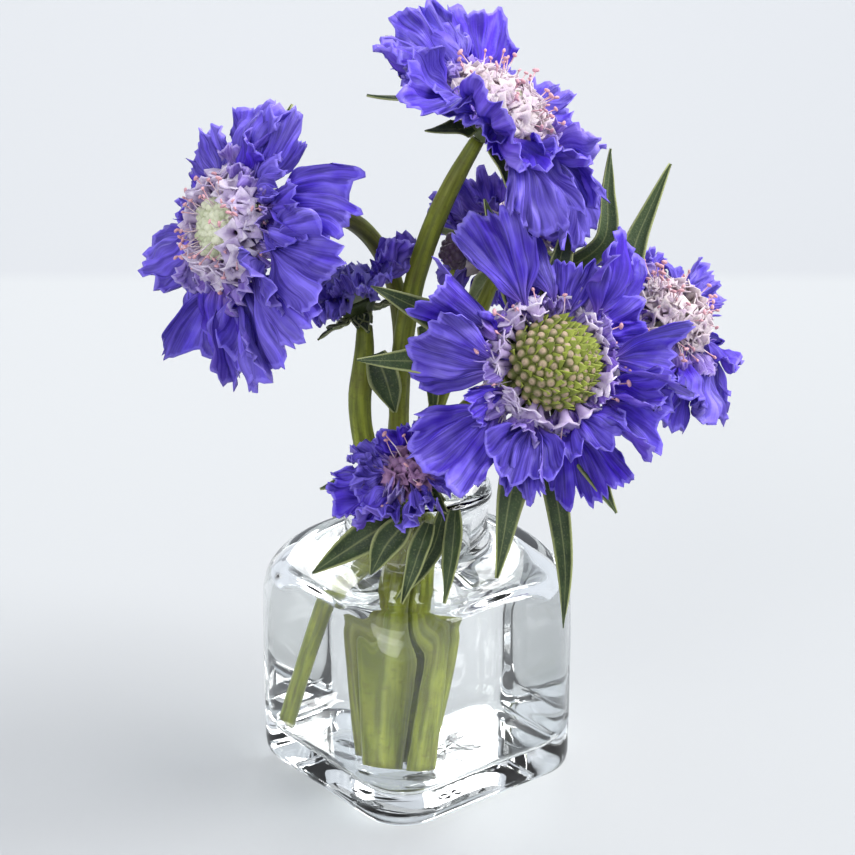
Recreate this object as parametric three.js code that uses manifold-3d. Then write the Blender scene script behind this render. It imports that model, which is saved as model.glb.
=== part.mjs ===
// Seven blue scabious flowers standing in a small square glass bottle of water.
// Millimetres, +Z up, origin at the centre of the bottle's base, the show side facing -Y.

import * as THREE from 'three';
import { mergeVertices } from 'three/addons/utils/BufferGeometryUtils.js';
import Module from 'manifold-3d';

const wasm = await Module();
wasm.setup();

// ---------------------------------------------------------------- driving dimensions

const GAP = 0.3; // clearance between touching pieces
const BOTTLE_TURN = THREE.MathUtils.degToRad(38); // one corner of the body points forwards
const AROUND = 40; // facets round the bottle
const OPEN = 99; // a radius that no wall of the body reaches

const BODY = { halfSide: 25, corner: 9.4, wall: 3, floor: 5.5 };
const DOME = { start: 33, reach: 32.5, top: 46.2, ridge: 22.9 };
const NECK = { radius: 14.3, bore: 11, lip: 15.2, height: 61.5 };
const WATER_LEVEL = 42;

const CUP_HEIGHT = 5; // green receptacle under each flower head
const STEM_TOP_RADIUS = 1.9; // flat underside of the receptacle
const RAY_THICKNESS = 1;
const LEAF_THICKNESS = 0.9;

// Each head: the foot of its receptacle, the way it faces, the radius and height of its
// button of small florets, and how far its outer florets reach and cup forwards.
const HEADS = {
  front: {
    base: [22, -16.5, 92.6], facing: [0.255, -0.899, 0.357], button: 8.9, dome: 10, reach: 26, lift: 1,
  },
  left: {
    base: [-29, -7.1, 115.6], facing: [-0.77, -0.59, 0.24], button: 8.4, dome: 7, reach: 27.5, lift: 0,
    bracts: [[95, 24, -5], [268, 24, -3], [235, 15, 3], [20, 17, -3], [160, 17, 0]],
  },
  top: {
    base: [12, 1, 131.3], facing: [0.58, -0.1, 0.81], button: 9, dome: 6, reach: 27, lift: 1,
    bracts: [[102, 22, -7], [70, 27, 1], [150, 18, -2], [210, 19, 0], [275, 18, -1], [340, 19, 0]],
  },
  right: {
    base: [46, 13.5, 87.5], facing: [0.62, -0.39, 0.68], button: 7, dome: 6, reach: 21, lift: -2,
    bracts: [[96, 17, -5], [50, 16, -5], [150, 16, -5], [205, 17, -5], [262, 16, -5], [320, 17, -5]],
  },
  back: {
    base: [16, 10, 102.5], facing: [0.2, 0.9, 0.4], button: 7, dome: 6, reach: 16.5, lift: 3,
    bracts: [[35, 16, -1], [100, 16, -2], [165, 17, 0], [225, 15, -1], [300, 16, 0]],
  },
  small_left: {
    base: [-10, 0, 94.5], facing: [-0.35, 0.15, 0.92], button: 4.8, dome: 4.5, reach: 14, lift: 4,
    bracts: [[30, 11, -2], [150, 12, -1], [235, 12, -2], [320, 10, 0]],
  },
  low: {
    base: [2, -19, 67.5], facing: [-0.45, -0.45, 0.77], button: 4.6, dome: 4.5, reach: 13, lift: 2,
    bracts: [[60, 9, -1], [340, 9, -1]],
  },
};

// Green bracts behind the front head: direction in degrees, length, and how far the tip leans.
const FRONT_BRACTS = [
  [70, 30, 1], [104, 32, 2], [151, 35, 3], [174, 35, 2], [253, 41, 2], [292, 32, 2],
];
const FRONT_RAYS = 10;
const COLLAR_RAYS = 8;

// Stems, from the cut end in the water to the head that each one carries.
const STEMS = {
  front: { radius: 1.8, route: [[-0.5, -17, 8], [1, -11.5, 30], [2, -5.6, 50], [2, -5, 60], [3.4, -5.4, 67],
    [9, -5, 73], [16, -4.5, 81], [21, -6.5, 88.5]] },
  left: { radius: 1.8, route: [[-5.2, -10.8, 8], [-5.8, -2.8, 30], [-4.8, 3.9, 50], [-4.6, 4.2, 60], [-4, 7, 70],
    [-2.5, 14, 84], [-4, 19, 99], [-11.5, 16, 111], [-20.5, 2, 116]] },
  top: { radius: 2, route: [[-4.8, -15.8, 8], [-3.6, -8.5, 28], [-2.6, -1.2, 50], [-2.8, -1, 60],
    [-3.5, 0, 78.6], [-1, 0, 101], [3.8, 0.5, 116]] },
  right: { radius: 1.7, route: [[-2.6, -7.4, 8], [1.8, -0.4, 30], [1.6, 7.8, 49], [2, 7.9, 60], [6, 10, 69],
    [17, 13, 78], [30, 15, 81]] },
  back: { radius: 1.6, route: [[-1.2, -12, 8], [-0.4, -4.4, 30], [0.4, 3.9, 50], [0.6, 4.4, 60], [4.5, 9, 76],
    [11, 9, 90]] },
  small_left: { radius: 2.2, route: [[-24, 0, 8.5], [-17, -0.3, 26], [-8.4, -0.6, 47], [-7.2, -0.6, 58],
    [-9.4, -2, 67], [-11.4, -2, 78], [-10.4, -1.8, 86]] },
  low: { radius: 1.5, route: [[-5, -7, 44], [-2.6, -7.8, 50], [-1.6, -8.6, 58], [1, -11.8, 64]] },
};

// Loose leaves of the stems and the low head: points from root to tip, width, the way they face.
const LEAVES = {
  leaf_drooping: { spine: [[23, -9.5, 82], [26, -17, 70], [28.5, -22, 56], [28.5, -22.5, 40]], width: 4.4 },
  leaf_hanging: { spine: [[-7.5, -4.5, 90], [-5.5, -6, 84.5], [-4, -6, 78.5]], width: 6 },
  leaf_joint: { spine: [[1.6, -2, 95], [3.6, -3, 90], [2.6, -3, 84]], width: 4, colour: 0x8a9a34 },
  leaf_upright: { spine: [[3.4, 4, 76], [3.2, 4, 87], [3, 4.4, 98]], width: 2.8 },
  leaf_tall_left: {
    spine: [[20.5, 7.5, 101], [29, 2.5, 105], [36, 1, 111], [36.8, 4.4, 120], [37.4, 7, 127.5]], width: 3.2,
  },
  leaf_tall_right: {
    spine: [[21, 5.5, 98.5], [31, -1.2, 100], [39.4, -2, 105], [43.2, 2, 113], [48.9, 7, 124.5]], width: 4.6,
  },
  low_leaf_1: { spine: [[-1.5, -14.8, 65.6], [-10, -12, 67], [-18.6, -11, 64.5]], width: 3.4 },
  low_leaf_2: { spine: [[-3.8, -16.6, 63.8], [-10, -15.4, 63], [-16, -14.5, 60.2]], width: 3 },
  low_leaf_3: { spine: [[-1.5, -21.4, 64.2], [-9, -22.2, 59.5], [-19.8, -23, 52]], width: 5.6 },
  low_leaf_4: { spine: [[-2, -24.5, 63], [-5.4, -26, 59.5], [-8.5, -27, 53.5]], width: 4.6 },
  low_leaf_5: { spine: [[2.6, -24.5, 63], [0.4, -28.4, 58], [-2.5, -30, 49]], width: 3 },
  low_leaf_6: { spine: [[5.4, -20.6, 64], [3, -24.2, 57], [-3.6, -26.8, 48.2]], width: 3 },
  low_leaf_7: { spine: [[7.6, -21.5, 64.5], [7, -25, 57.5], [5.4, -28, 48]], width: 2.8 },
};

const COLOURS = {
  glass: 0xdfe6e6, water: 0xe6eeee, stem: 0x7d8a3a, leaf: 0x2e4327, cup: 0x47582f,
  ray: 0x4636b4, button: 0x8f9658, floret: 0xcabbe2, bud: 0x3a2b34,
};

// ---------------------------------------------------------------- shared helpers

const group = new THREE.Group();
const vector = (point) => new THREE.Vector3(...point);

/** Volume inside a closed mesh, negative where its faces point inwards. */
function signedVolume(geometry) {
  const place = geometry.attributes.position;
  const [a, b, c] = [new THREE.Vector3(), new THREE.Vector3(), new THREE.Vector3()];
  let total = 0;
  for (let i = 0; i < geometry.index.count; i += 3) {
    a.fromBufferAttribute(place, geometry.index.getX(i));
    b.fromBufferAttribute(place, geometry.index.getX(i + 1));
    c.fromBufferAttribute(place, geometry.index.getX(i + 2));
    total += a.dot(b.cross(c)) / 6;
  }
  return total;
}

/** Merge shared vertices, drop collapsed faces and point the rest outwards. */
function closed(geometry) {
  geometry.deleteAttribute('normal');
  geometry.deleteAttribute('uv');
  const merged = mergeVertices(geometry, 1e-4);
  const kept = [];
  for (let i = 0; i < merged.index.count; i += 3) {
    const corners = [0, 1, 2].map((k) => merged.index.getX(i + k));
    if (new Set(corners).size === 3) kept.push(...corners);
  }
  merged.setIndex(kept);
  if (signedVolume(merged) < 0) merged.setIndex(kept.reverse());
  return merged;
}

/** A manifold solid of a closed geometry. */
function toSolid(geometry) {
  const vertProperties = new Float32Array(geometry.attributes.position.array);
  const triVerts = new Uint32Array(geometry.index.array);
  return new wasm.Manifold(new wasm.Mesh({ numProp: 3, vertProperties, triVerts }));
}

/** The geometry of a manifold solid. */
function fromSolid(solid) {
  const { vertProperties, triVerts } = solid.getMesh();
  const geometry = new THREE.BufferGeometry();
  geometry.setAttribute('position', new THREE.BufferAttribute(vertProperties, 3));
  geometry.setIndex(new THREE.BufferAttribute(triVerts, 1));
  return geometry;
}

/** Join several closed geometries in one. */
function join(geometries) {
  return fromSolid(geometries.map(toSolid).reduce((whole, next) => whole.add(next)));
}

/** Add a named mesh to a parent. */
function addPiece(parent, name, geometry, colour, finish = {}) {
  const material = new THREE.MeshStandardMaterial({ color: colour, roughness: 0.7, metalness: 0, ...finish });
  const mesh = new THREE.Mesh(geometry, material);
  mesh.name = name;
  parent.add(mesh);
}

/** A solid turned about +Z from [radius, height] points. */
function turned(points, segments) {
  const lathe = new THREE.LatheGeometry(points.map(([r, z]) => new THREE.Vector2(r, z)), segments);
  return closed(lathe.rotateX(Math.PI / 2));
}

/** A tube along a smooth route. */
function tube(route, radius, steps, sides) {
  const section = new THREE.Shape().absarc(0, 0, radius, 0, 2 * Math.PI);
  const path = new THREE.CatmullRomCurve3(route.map(vector));
  const options = { steps, curveSegments: sides, bevelEnabled: false, extrudePath: path };
  return closed(new THREE.ExtrudeGeometry(section, options));
}

/** A thin blade along a spine of points; outline(t) scales its width from root to tip. */
function blade(spine, width, thickness, facing, outline, [across, along], trough = 0) {
  const path = new THREE.CatmullRomCurve3(spine.map(vector));
  const geometry = new THREE.BoxGeometry(1, 1, 1, across, along, 1);
  const place = geometry.attributes.position;
  for (let i = 0; i < place.count; i += 1) {
    const [u, t, w] = [place.getX(i), place.getY(i) + 0.5, place.getZ(i)];
    const forward = path.getTangent(t);
    const side = new THREE.Vector3().crossVectors(forward, vector(facing)).normalize();
    const normal = new THREE.Vector3().crossVectors(side, forward);
    const breadth = width * outline(t);
    const point = path.getPoint(t).addScaledVector(side, u * breadth);
    point.addScaledVector(normal, w * thickness + trough * breadth * 4 * u * u);
    place.setXYZ(i, point.x, point.y, point.z);
  }
  return closed(geometry);
}

const leafOutline = (t) => Math.max(0.1, Math.sin(Math.PI * (0.14 + 0.84 * t)));
const rayOutline = (t) => 0.3 + 0.7 * Math.sin(Math.PI * (0.05 + 0.72 * t));

// ---------------------------------------------------------------- bottle and water

/** How far a rounded square reaches from its centre in one direction. */
function squareReach(angle, halfSide, corner) {
  const [a, b] = [Math.abs(Math.cos(angle)), Math.abs(Math.sin(angle))];
  const flat = halfSide / Math.max(a, b);
  const centre = halfSide - corner;
  if (flat * Math.min(a, b) <= centre) return flat;
  const nearest = centre * (a + b);
  return nearest + Math.sqrt(nearest ** 2 - 2 * centre ** 2 + corner ** 2);
}

/** The smaller of two lengths, with the step between them rounded over the given distance. */
function softMin(a, b, blend) {
  const overlap = Math.max(blend - Math.abs(a - b), 0) / blend;
  return Math.min(a, b) - (overlap ** 2 * blend) / 4;
}

/** A square jar under a turned shape, from rows of [turned radius, inset of the square, height]. */
function jar(rows, halfSide, corner) {
  const profile = rows.map(([radius, , height]) => new THREE.Vector2(radius, height));
  const geometry = new THREE.LatheGeometry(profile, AROUND).rotateX(Math.PI / 2);
  const place = geometry.attributes.position;
  for (let i = 0; i < place.count; i += 1) {
    const radius = Math.hypot(place.getX(i), place.getY(i));
    if (radius < 1e-6) continue;
    const angle = Math.atan2(place.getY(i), place.getX(i));
    const inset = rows[i % rows.length][1];
    const scale = softMin(radius, squareReach(angle, halfSide, corner) - inset, 2) / radius;
    place.setXY(i, place.getX(i) * scale, place.getY(i) * scale);
  }
  return closed(geometry.rotateZ(BOTTLE_TURN));
}

/** Rows of the dome that closes the body, moved inwards by one distance. */
function domeRows(inwards) {
  const steps = 5;
  return Array.from({ length: steps + 1 }, (_, i) => {
    const angle = (i / steps) * (Math.PI / 2);
    const radius = DOME.ridge + (DOME.reach - DOME.ridge) * Math.cos(angle) - inwards;
    return [radius, 0, DOME.start + (DOME.top - DOME.start) * Math.sin(angle) - inwards];
  });
}

/** Outside of the bottle, filled solid. */
function bottleOutside() {
  const { radius, lip, height } = NECK;
  const rows = [
    [0, 0, 0], [OPEN, 2.6, 0], [OPEN, 0.8, 0.8], [OPEN, 0, 3.5],
    ...domeRows(0),
    [19, 0, 47.3], [15.8, 0, 48.2], [radius, 0, 50.5],
    [radius, 0, 57.5], [lip, 0, 59], [lip, 0, 60.4], [lip - 1.2, 0, height], [0, 0, height],
  ];
  return jar(rows, BODY.halfSide, BODY.corner);
}

/** The hollow of the bottle, shrunk by one distance all round. */
function bottleInside(shrink) {
  const { bore, height } = NECK;
  const floor = BODY.floor + shrink;
  const rows = [
    [0, 0, floor], [OPEN, 3.2, floor], [OPEN, 0.8, floor + 1.4], [OPEN, 0, floor + 4],
    ...domeRows(BODY.wall + shrink),
    [14.5, 0, 44.6 - shrink], [bore - shrink, 0, 47.2],
    [bore - shrink, 0, height - 2], [bore + 1.2, 0, height + 0.2], [bore + 1.2, 0, height + 2], [0, 0, height + 2],
  ];
  return jar(rows, BODY.halfSide - BODY.wall - shrink, BODY.corner - BODY.wall - shrink);
}

const bottle = fromSolid(toSolid(bottleOutside()).subtract(toSolid(bottleInside(0))));
addPiece(group, 'bottle', bottle, COLOURS.glass, { roughness: 0.05, transparent: true, opacity: 0.35 });

// ---------------------------------------------------------------- stems

/** The route of a stem, ending just short of the foot of its head. */
function stemRoute(name) {
  const { base, facing } = HEADS[name];
  const way = vector(facing).normalize();
  const end = (distance) => vector(base).addScaledVector(way, -distance).toArray();
  return [...STEMS[name].route, end(3.5), end(GAP + 0.1)];
}

const STEM_STEPS = 18;
const STEM_SIDES = 4; // segments in each half turn of the section
const holes = [];
for (const [name, { radius }] of Object.entries(STEMS)) {
  const route = stemRoute(name);
  addPiece(group, `stem_${name}`, tube(route, radius, STEM_STEPS, STEM_SIDES), COLOURS.stem);
  const [end, next] = [vector(route[0]), vector(route[1])];
  const below = end.clone().add(end.clone().sub(next).setLength(GAP)).toArray();
  holes.push(toSolid(tube([below, ...route.slice(1)], radius + GAP, STEM_STEPS, STEM_SIDES)));
}

const depth = new THREE.BoxGeometry(80, 80, WATER_LEVEL).translate(0, 0, WATER_LEVEL / 2);
let water = toSolid(bottleInside(GAP)).intersect(toSolid(closed(depth)));
for (const hole of holes) water = water.subtract(hole);
addPiece(group, 'water', fromSolid(water), COLOURS.water, { roughness: 0.02, transparent: true, opacity: 0.3 });

// ---------------------------------------------------------------- flower heads

/** A group standing on the head's foot, with its own +Z the way the head faces. */
function headFrame({ base, facing }) {
  const z = vector(facing).normalize();
  const x = new THREE.Vector3(-z.y, z.x, 0).normalize();
  const y = new THREE.Vector3().crossVectors(z, x);
  const frame = new THREE.Group();
  frame.position.set(...base);
  frame.quaternion.setFromRotationMatrix(new THREE.Matrix4().makeBasis(x, y, z));
  group.add(frame);
  return frame;
}

/** A point in the head's own frame, from a direction in degrees, a radius and a height. */
function polar(degrees, radius, height) {
  const angle = THREE.MathUtils.degToRad(degrees);
  return [radius * Math.cos(angle), radius * Math.sin(angle), height];
}

/** Green receptacle: a small goblet with a flat foot and a flat top. */
function cup({ button }) {
  const points = [[0, 0], [STEM_TOP_RADIUS, 0], [button * 0.4, 1.2], [button * 0.7, 3], [button * 0.94, CUP_HEIGHT]];
  return turned([...points, [0, CUP_HEIGHT]], 12);
}

/** Domed button of small florets, standing on the receptacle. */
function button({ button: radius, dome }) {
  const foot = CUP_HEIGHT + GAP;
  const points = [[0, foot], [radius, foot], [radius * 1.02, foot + dome * 0.3], [radius * 0.86, foot + dome * 0.66]];
  return turned([...points, [radius * 0.5, foot + dome * 0.93], [0, foot + dome]], 14);
}

/** One outer floret, from its root beside the button to its frilled end. */
function ray({ reach, lift }, degrees, root, height, width) {
  const spine = [
    polar(degrees, root, height),
    polar(degrees, root + (reach - root) * 0.5, height + lift * 0.35 + 0.8),
    polar(degrees, reach, height + lift),
  ];
  return blade(spine, width, RAY_THICKNESS, [0, 0, 1], rayOutline, [2, 3], 0.04);
}

/** One bract, from the side of the receptacle outwards behind the outer florets. */
function bract(degrees, root, length, lean, height = 1.8) {
  const spine = [
    polar(degrees, root, height),
    polar(degrees, length * 0.55, height - 0.3 + lean * 0.3),
    polar(degrees, length, height - 0.3 + lean),
  ];
  return blade(spine, 2.2 + length * 0.12, LEAF_THICKNESS, [0, 0, 1], leafOutline, [1, 3]);
}

/** Outer florets grown together round the button, as one ring. */
function collar(head) {
  const [inner, outer] = [head.button * 1.02 + GAP, head.button + 2.6];
  const [low, high] = [CUP_HEIGHT + 0.5, CUP_HEIGHT + 2.3];
  const ring = turned([[inner, low], [outer, low], [outer, high], [inner, high], [inner, low]], 14);
  const rays = Array.from({ length: COLLAR_RAYS }, (_, i) => (
    ray(head, (i * 360) / COLLAR_RAYS, head.button + 1.4, (low + high) / 2, head.reach * 0.54)
  ));
  return join([ring, ...rays]);
}

for (const [name, head] of Object.entries(HEADS)) {
  const frame = headFrame(head);
  addPiece(frame, `button_${name}`, button(head), name === 'front' ? COLOURS.button : COLOURS.floret);
  if (name === 'front') {
    addPiece(frame, 'receptacle_front', cup(head), COLOURS.cup);
    continue;
  }
  const bracts = head.bracts.map(([degrees, length, lean]) => bract(degrees, head.button * 0.3, length, lean));
  addPiece(frame, `receptacle_${name}`, join([cup(head), ...bracts]), COLOURS.cup);
  addPiece(frame, `rays_${name}`, collar(head), COLOURS.ray);
}

const frontFrame = headFrame(HEADS.front);
for (let i = 0; i < FRONT_RAYS; i += 1) {
  const upper = i % 2;
  const height = CUP_HEIGHT + 1 + upper * 1.7;
  const head = { ...HEADS.front, lift: HEADS.front.lift + upper * 1.5 };
  const floret = ray(head, (i * 360) / FRONT_RAYS, head.button * 1.02 + GAP + 0.4, height, head.reach * 0.68);
  addPiece(frontFrame, `ray_front_${i + 1}`, floret, COLOURS.ray);
}
FRONT_BRACTS.forEach(([degrees, length, lean], i) => {
  // Neighbours start on two levels, the upper one further out on the receptacle's slope.
  const [root, height] = i % 2 ? [0.94, 3.4] : [0.64, 1.6];
  const leaf = bract(degrees, HEADS.front.button * root, length, lean, height);
  addPiece(frontFrame, `bract_front_${i + 1}`, leaf, COLOURS.leaf);
});

// ---------------------------------------------------------------- leaves and the dried bud

for (const [name, { spine, width, colour = COLOURS.leaf }] of Object.entries(LEAVES)) {
  addPiece(group, name, blade(spine, width, LEAF_THICKNESS, [0, -1, 0.3], leafOutline, [2, 4], 0.06), colour);
}

const BUD = { base: [7.6, 2, 105.5], stalk: [[0.9, 1.3, 91], [4, 1.8, 98], [7.2, 2, 104.6], [7.5, 2, 105.1]] };
addPiece(group, 'bud_stalk', tube(BUD.stalk, 0.6, 6, 3), COLOURS.stem);
const bud = turned([[0, 0], [1, 0], [2.6, 1.6], [2.8, 3.4], [1.6, 5.2], [0, 6]], 10).translate(...BUD.base);
addPiece(group, 'bud', bud, COLOURS.bud);

export default group;
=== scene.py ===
"""Blue scabious standing in a small square bottle of water, dressed for a plain studio picture.

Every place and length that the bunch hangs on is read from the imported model: the heads from their
buttons and receptacles, the stems, bracts and leaves from the rings of points along their solids.
"""
import logging
import math
import random
from dataclasses import dataclass, field
from enum import Enum

import bmesh
import bpy
from mathutils import Matrix, Vector, noise


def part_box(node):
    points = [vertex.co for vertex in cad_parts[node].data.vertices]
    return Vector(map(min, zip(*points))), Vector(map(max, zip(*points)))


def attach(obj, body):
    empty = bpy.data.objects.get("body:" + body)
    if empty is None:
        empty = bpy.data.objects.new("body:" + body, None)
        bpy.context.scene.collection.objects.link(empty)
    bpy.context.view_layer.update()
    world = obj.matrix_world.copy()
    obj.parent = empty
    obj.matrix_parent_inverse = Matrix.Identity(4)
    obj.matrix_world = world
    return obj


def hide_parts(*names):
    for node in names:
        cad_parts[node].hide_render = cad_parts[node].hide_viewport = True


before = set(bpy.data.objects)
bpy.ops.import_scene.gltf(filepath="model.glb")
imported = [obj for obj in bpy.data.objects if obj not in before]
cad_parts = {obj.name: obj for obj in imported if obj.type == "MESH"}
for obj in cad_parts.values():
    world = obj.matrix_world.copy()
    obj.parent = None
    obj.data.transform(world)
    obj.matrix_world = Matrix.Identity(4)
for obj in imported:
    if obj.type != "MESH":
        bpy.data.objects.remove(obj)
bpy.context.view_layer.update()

MM = 0.001
GOLDEN_ANGLE = math.pi * (3 - math.sqrt(5))
LOG = logging.getLogger("scabious")

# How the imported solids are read.
BASE_SLACK = 0.1 * MM
CUP_REACH = 2.2 * MM
PRONG_GAP = math.radians(9)

# Sheets and how finely they are drawn.
PETAL_THICKNESS = 0.14 * MM
LEAF_THICKNESS = 0.3 * MM
FULL_RAY_FACES = 34
SHORT_RAY_FACES = 26
INNER_RAY_SHARE = 0.68

# What stands on the buttons.
STALK_RADIUS = 1.7 * MM
SEED_BUDS = 104
FRINGE_FLORETS = 54
FRINGE_STAMENS = 30
FULL_BUTTON_RADIUS = 8.6 * MM
FULL_BUTTON_PLACES = 150
DRIED_FLORETS = 42

# Stems and bottle.
STEM_STEP = 1.4 * MM
TAPER_START = 0.86
UNCAPPED = 99 * MM


# ---------------------------------------------------------------- workbench


def clear_selection() -> None:
    """Leave nothing selected, in object mode."""
    if bpy.context.object and bpy.context.object.mode != "OBJECT":
        bpy.ops.object.mode_set(mode="OBJECT")
    bpy.ops.object.select_all(action="DESELECT")


def new_grid(name: str, across: int, along: int) -> bpy.types.Object:
    """Add a flat unit grid with a UV map.

    Args:
        name: the object's name.
        across: faces along X.
        along: faces along Y.

    Returns:
        The grid, selected and active.
    """
    clear_selection()
    bpy.ops.mesh.primitive_grid_add(x_subdivisions=across, y_subdivisions=along, size=1)
    bpy.context.object.name = name
    return bpy.context.object


def apply_modifier(piece: bpy.types.Object, kind: str, **settings: object) -> None:
    """Add one modifier with its settings and apply it.

    Args:
        piece: the object.
        kind: the modifier's type.
        settings: its properties by name.
    """
    clear_selection()
    piece.select_set(True)
    bpy.context.view_layer.objects.active = piece
    bpy.ops.object.modifier_add(type=kind)
    modifier = piece.modifiers[-1]
    for key, value in settings.items():
        setattr(modifier, key, value)
    bpy.ops.object.modifier_apply(modifier=modifier.name)


def join_pieces(name: str, parts: list[bpy.types.Object]) -> bpy.types.Object:
    """Join several objects in one and name it.

    Args:
        name: the joined piece's name.
        parts: the objects; the first one's materials come first.

    Returns:
        The joined object.
    """
    clear_selection()
    for part in parts:
        part.select_set(True)
    bpy.context.view_layer.objects.active = parts[0]
    if len(parts) > 1:
        bpy.ops.object.join()
    parts[0].name = name
    return parts[0]


def settle(piece: bpy.types.Object) -> None:
    """Move a piece's place into its mesh and smooth it.

    Args:
        piece: the object.
    """
    clear_selection()
    piece.select_set(True)
    bpy.context.view_layer.objects.active = piece
    bpy.ops.object.transform_apply(location=True, rotation=True, scale=True)
    bpy.ops.object.shade_smooth()


def set_tone(piece: bpy.types.Object, value: float) -> None:
    """Store one number on every point of a piece, which its finish reads as its own shade."""
    layer = piece.data.attributes.new("tone", "FLOAT", "POINT")
    layer.data.foreach_set("value", [value] * len(piece.data.vertices))


def hand_over(piece: bpy.types.Object, nodes: list[str]) -> bpy.types.Object:
    """Ride a finished piece on the root body in place of its plain solids.

    Args:
        piece: the finished object.
        nodes: the solids it stands for, none for an extra piece.

    Returns:
        The same piece.
    """
    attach(piece, "root")
    if nodes:
        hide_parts(*nodes)
    LOG.info("%s: %d faces", piece.name, len(piece.data.polygons))
    return piece


def scatter(name: str, model: bpy.types.Object, places: list[Matrix], rng: random.Random) -> bpy.types.Object:
    """Copy one small model to many places, with a shade of its own for each copy.

    Args:
        name: the new piece's name.
        model: the object to copy; it stays as it is.
        places: one matrix for each copy.
        rng: where the shades come from.

    Returns:
        One object that holds every copy.
    """
    source = model.data
    corners = [v.co.copy() for v in source.vertices]
    uv = source.uv_layers[0].data
    mesh = bpy.data.meshes.new(name)
    points, faces, tones = [], [], []
    for place in places:
        start = len(points)
        points += [place @ co for co in corners]
        faces += [[start + i for i in face.vertices] for face in source.polygons]
        tones += [rng.random()] * len(corners)
    mesh.from_pydata(points, [], faces)
    layer = mesh.attributes.new("tone", "FLOAT", "POINT")
    layer.data.foreach_set("value", tones)
    flat = [c for _ in places for loop in uv for c in loop.uv]
    mesh.uv_layers.new(name="UVMap").data.foreach_set("uv", flat)
    mesh.polygons.foreach_set("use_smooth", [True] * len(mesh.polygons))
    piece = bpy.data.objects.new(name, mesh)
    bpy.context.scene.collection.objects.link(piece)
    return piece


# ---------------------------------------------------------------- reading the frame


def node_points(node: str) -> list[Vector]:
    """Every different corner of a solid."""
    seen = {tuple(round(c, 6) for c in v.co): v.co.copy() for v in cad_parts[node].data.vertices}
    return list(seen.values())


def mean(points: list[Vector]) -> Vector:
    """The middle of some points."""
    return sum(points, Vector()) / len(points)


@dataclass
class Ring:
    """One cross-section of a long solid: its middle, its widest way and half its width."""

    centre: Vector
    side: Vector
    half: float


def read_rings(node: str, size: int, root: Vector) -> list[Ring]:
    """Follow a tube or blade from its root, ring by ring.

    Args:
        node: the solid's name.
        size: how many corners each cross-section has.
        root: a point near the end to start from.

    Returns:
        The cross-sections in order.
    """
    left = node_points(node)
    ends = max(((a, b) for a in left for b in left), key=lambda pair: (pair[0] - pair[1]).length)
    here = min(ends, key=lambda p: (p - root).length)
    rings: list[Ring] = []
    while len(left) >= size:
        left.sort(key=lambda p: (p - here).length)
        corners, left = left[:size], left[size:]
        here = mean(corners)
        far = max(corners, key=lambda p: (p - here).length) - here
        side = far.normalized()
        if rings and side.dot(rings[-1].side) < 0:
            side = -side
        rings.append(Ring(here.copy(), side, far.length))
    return rings


class Spine:
    """A smooth curve through the middles of a solid's rings."""

    def __init__(self, points: list[Vector]) -> None:
        """Keep the points, with one more beyond each end."""
        first, last = 2 * points[0] - points[1], 2 * points[-1] - points[-2]
        self.points = [first, *points, last]
        self.spans = len(points) - 1

    def at(self, t: float) -> Vector:
        """The point a share t of the way along, 0 to 1.

        Args:
            t: the share, held between 0 and 1.

        Returns:
            The point.
        """
        place = min(max(t, 0.0), 0.99999) * self.spans
        i, s = int(place), place - int(place)
        a, b, c, d = self.points[i:i + 4]
        square, cube = 2 * a - 5 * b + 4 * c - d, 3 * b - a - 3 * c + d
        return 0.5 * (2 * b + (c - a) * s + square * s * s + cube * s ** 3)

    def way(self, t: float) -> Vector:
        """The direction at a share t of the way along."""
        return (self.at(min(t + 0.01, 1)) - self.at(max(t - 0.01, 0))).normalized()

    def length(self) -> float:
        """The curve's length.

        Returns:
            The length of forty short chords along it.
        """
        steps = [self.at(i / 40) for i in range(41)]
        return sum((b - a).length for a, b in zip(steps, steps[1:]))


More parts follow.
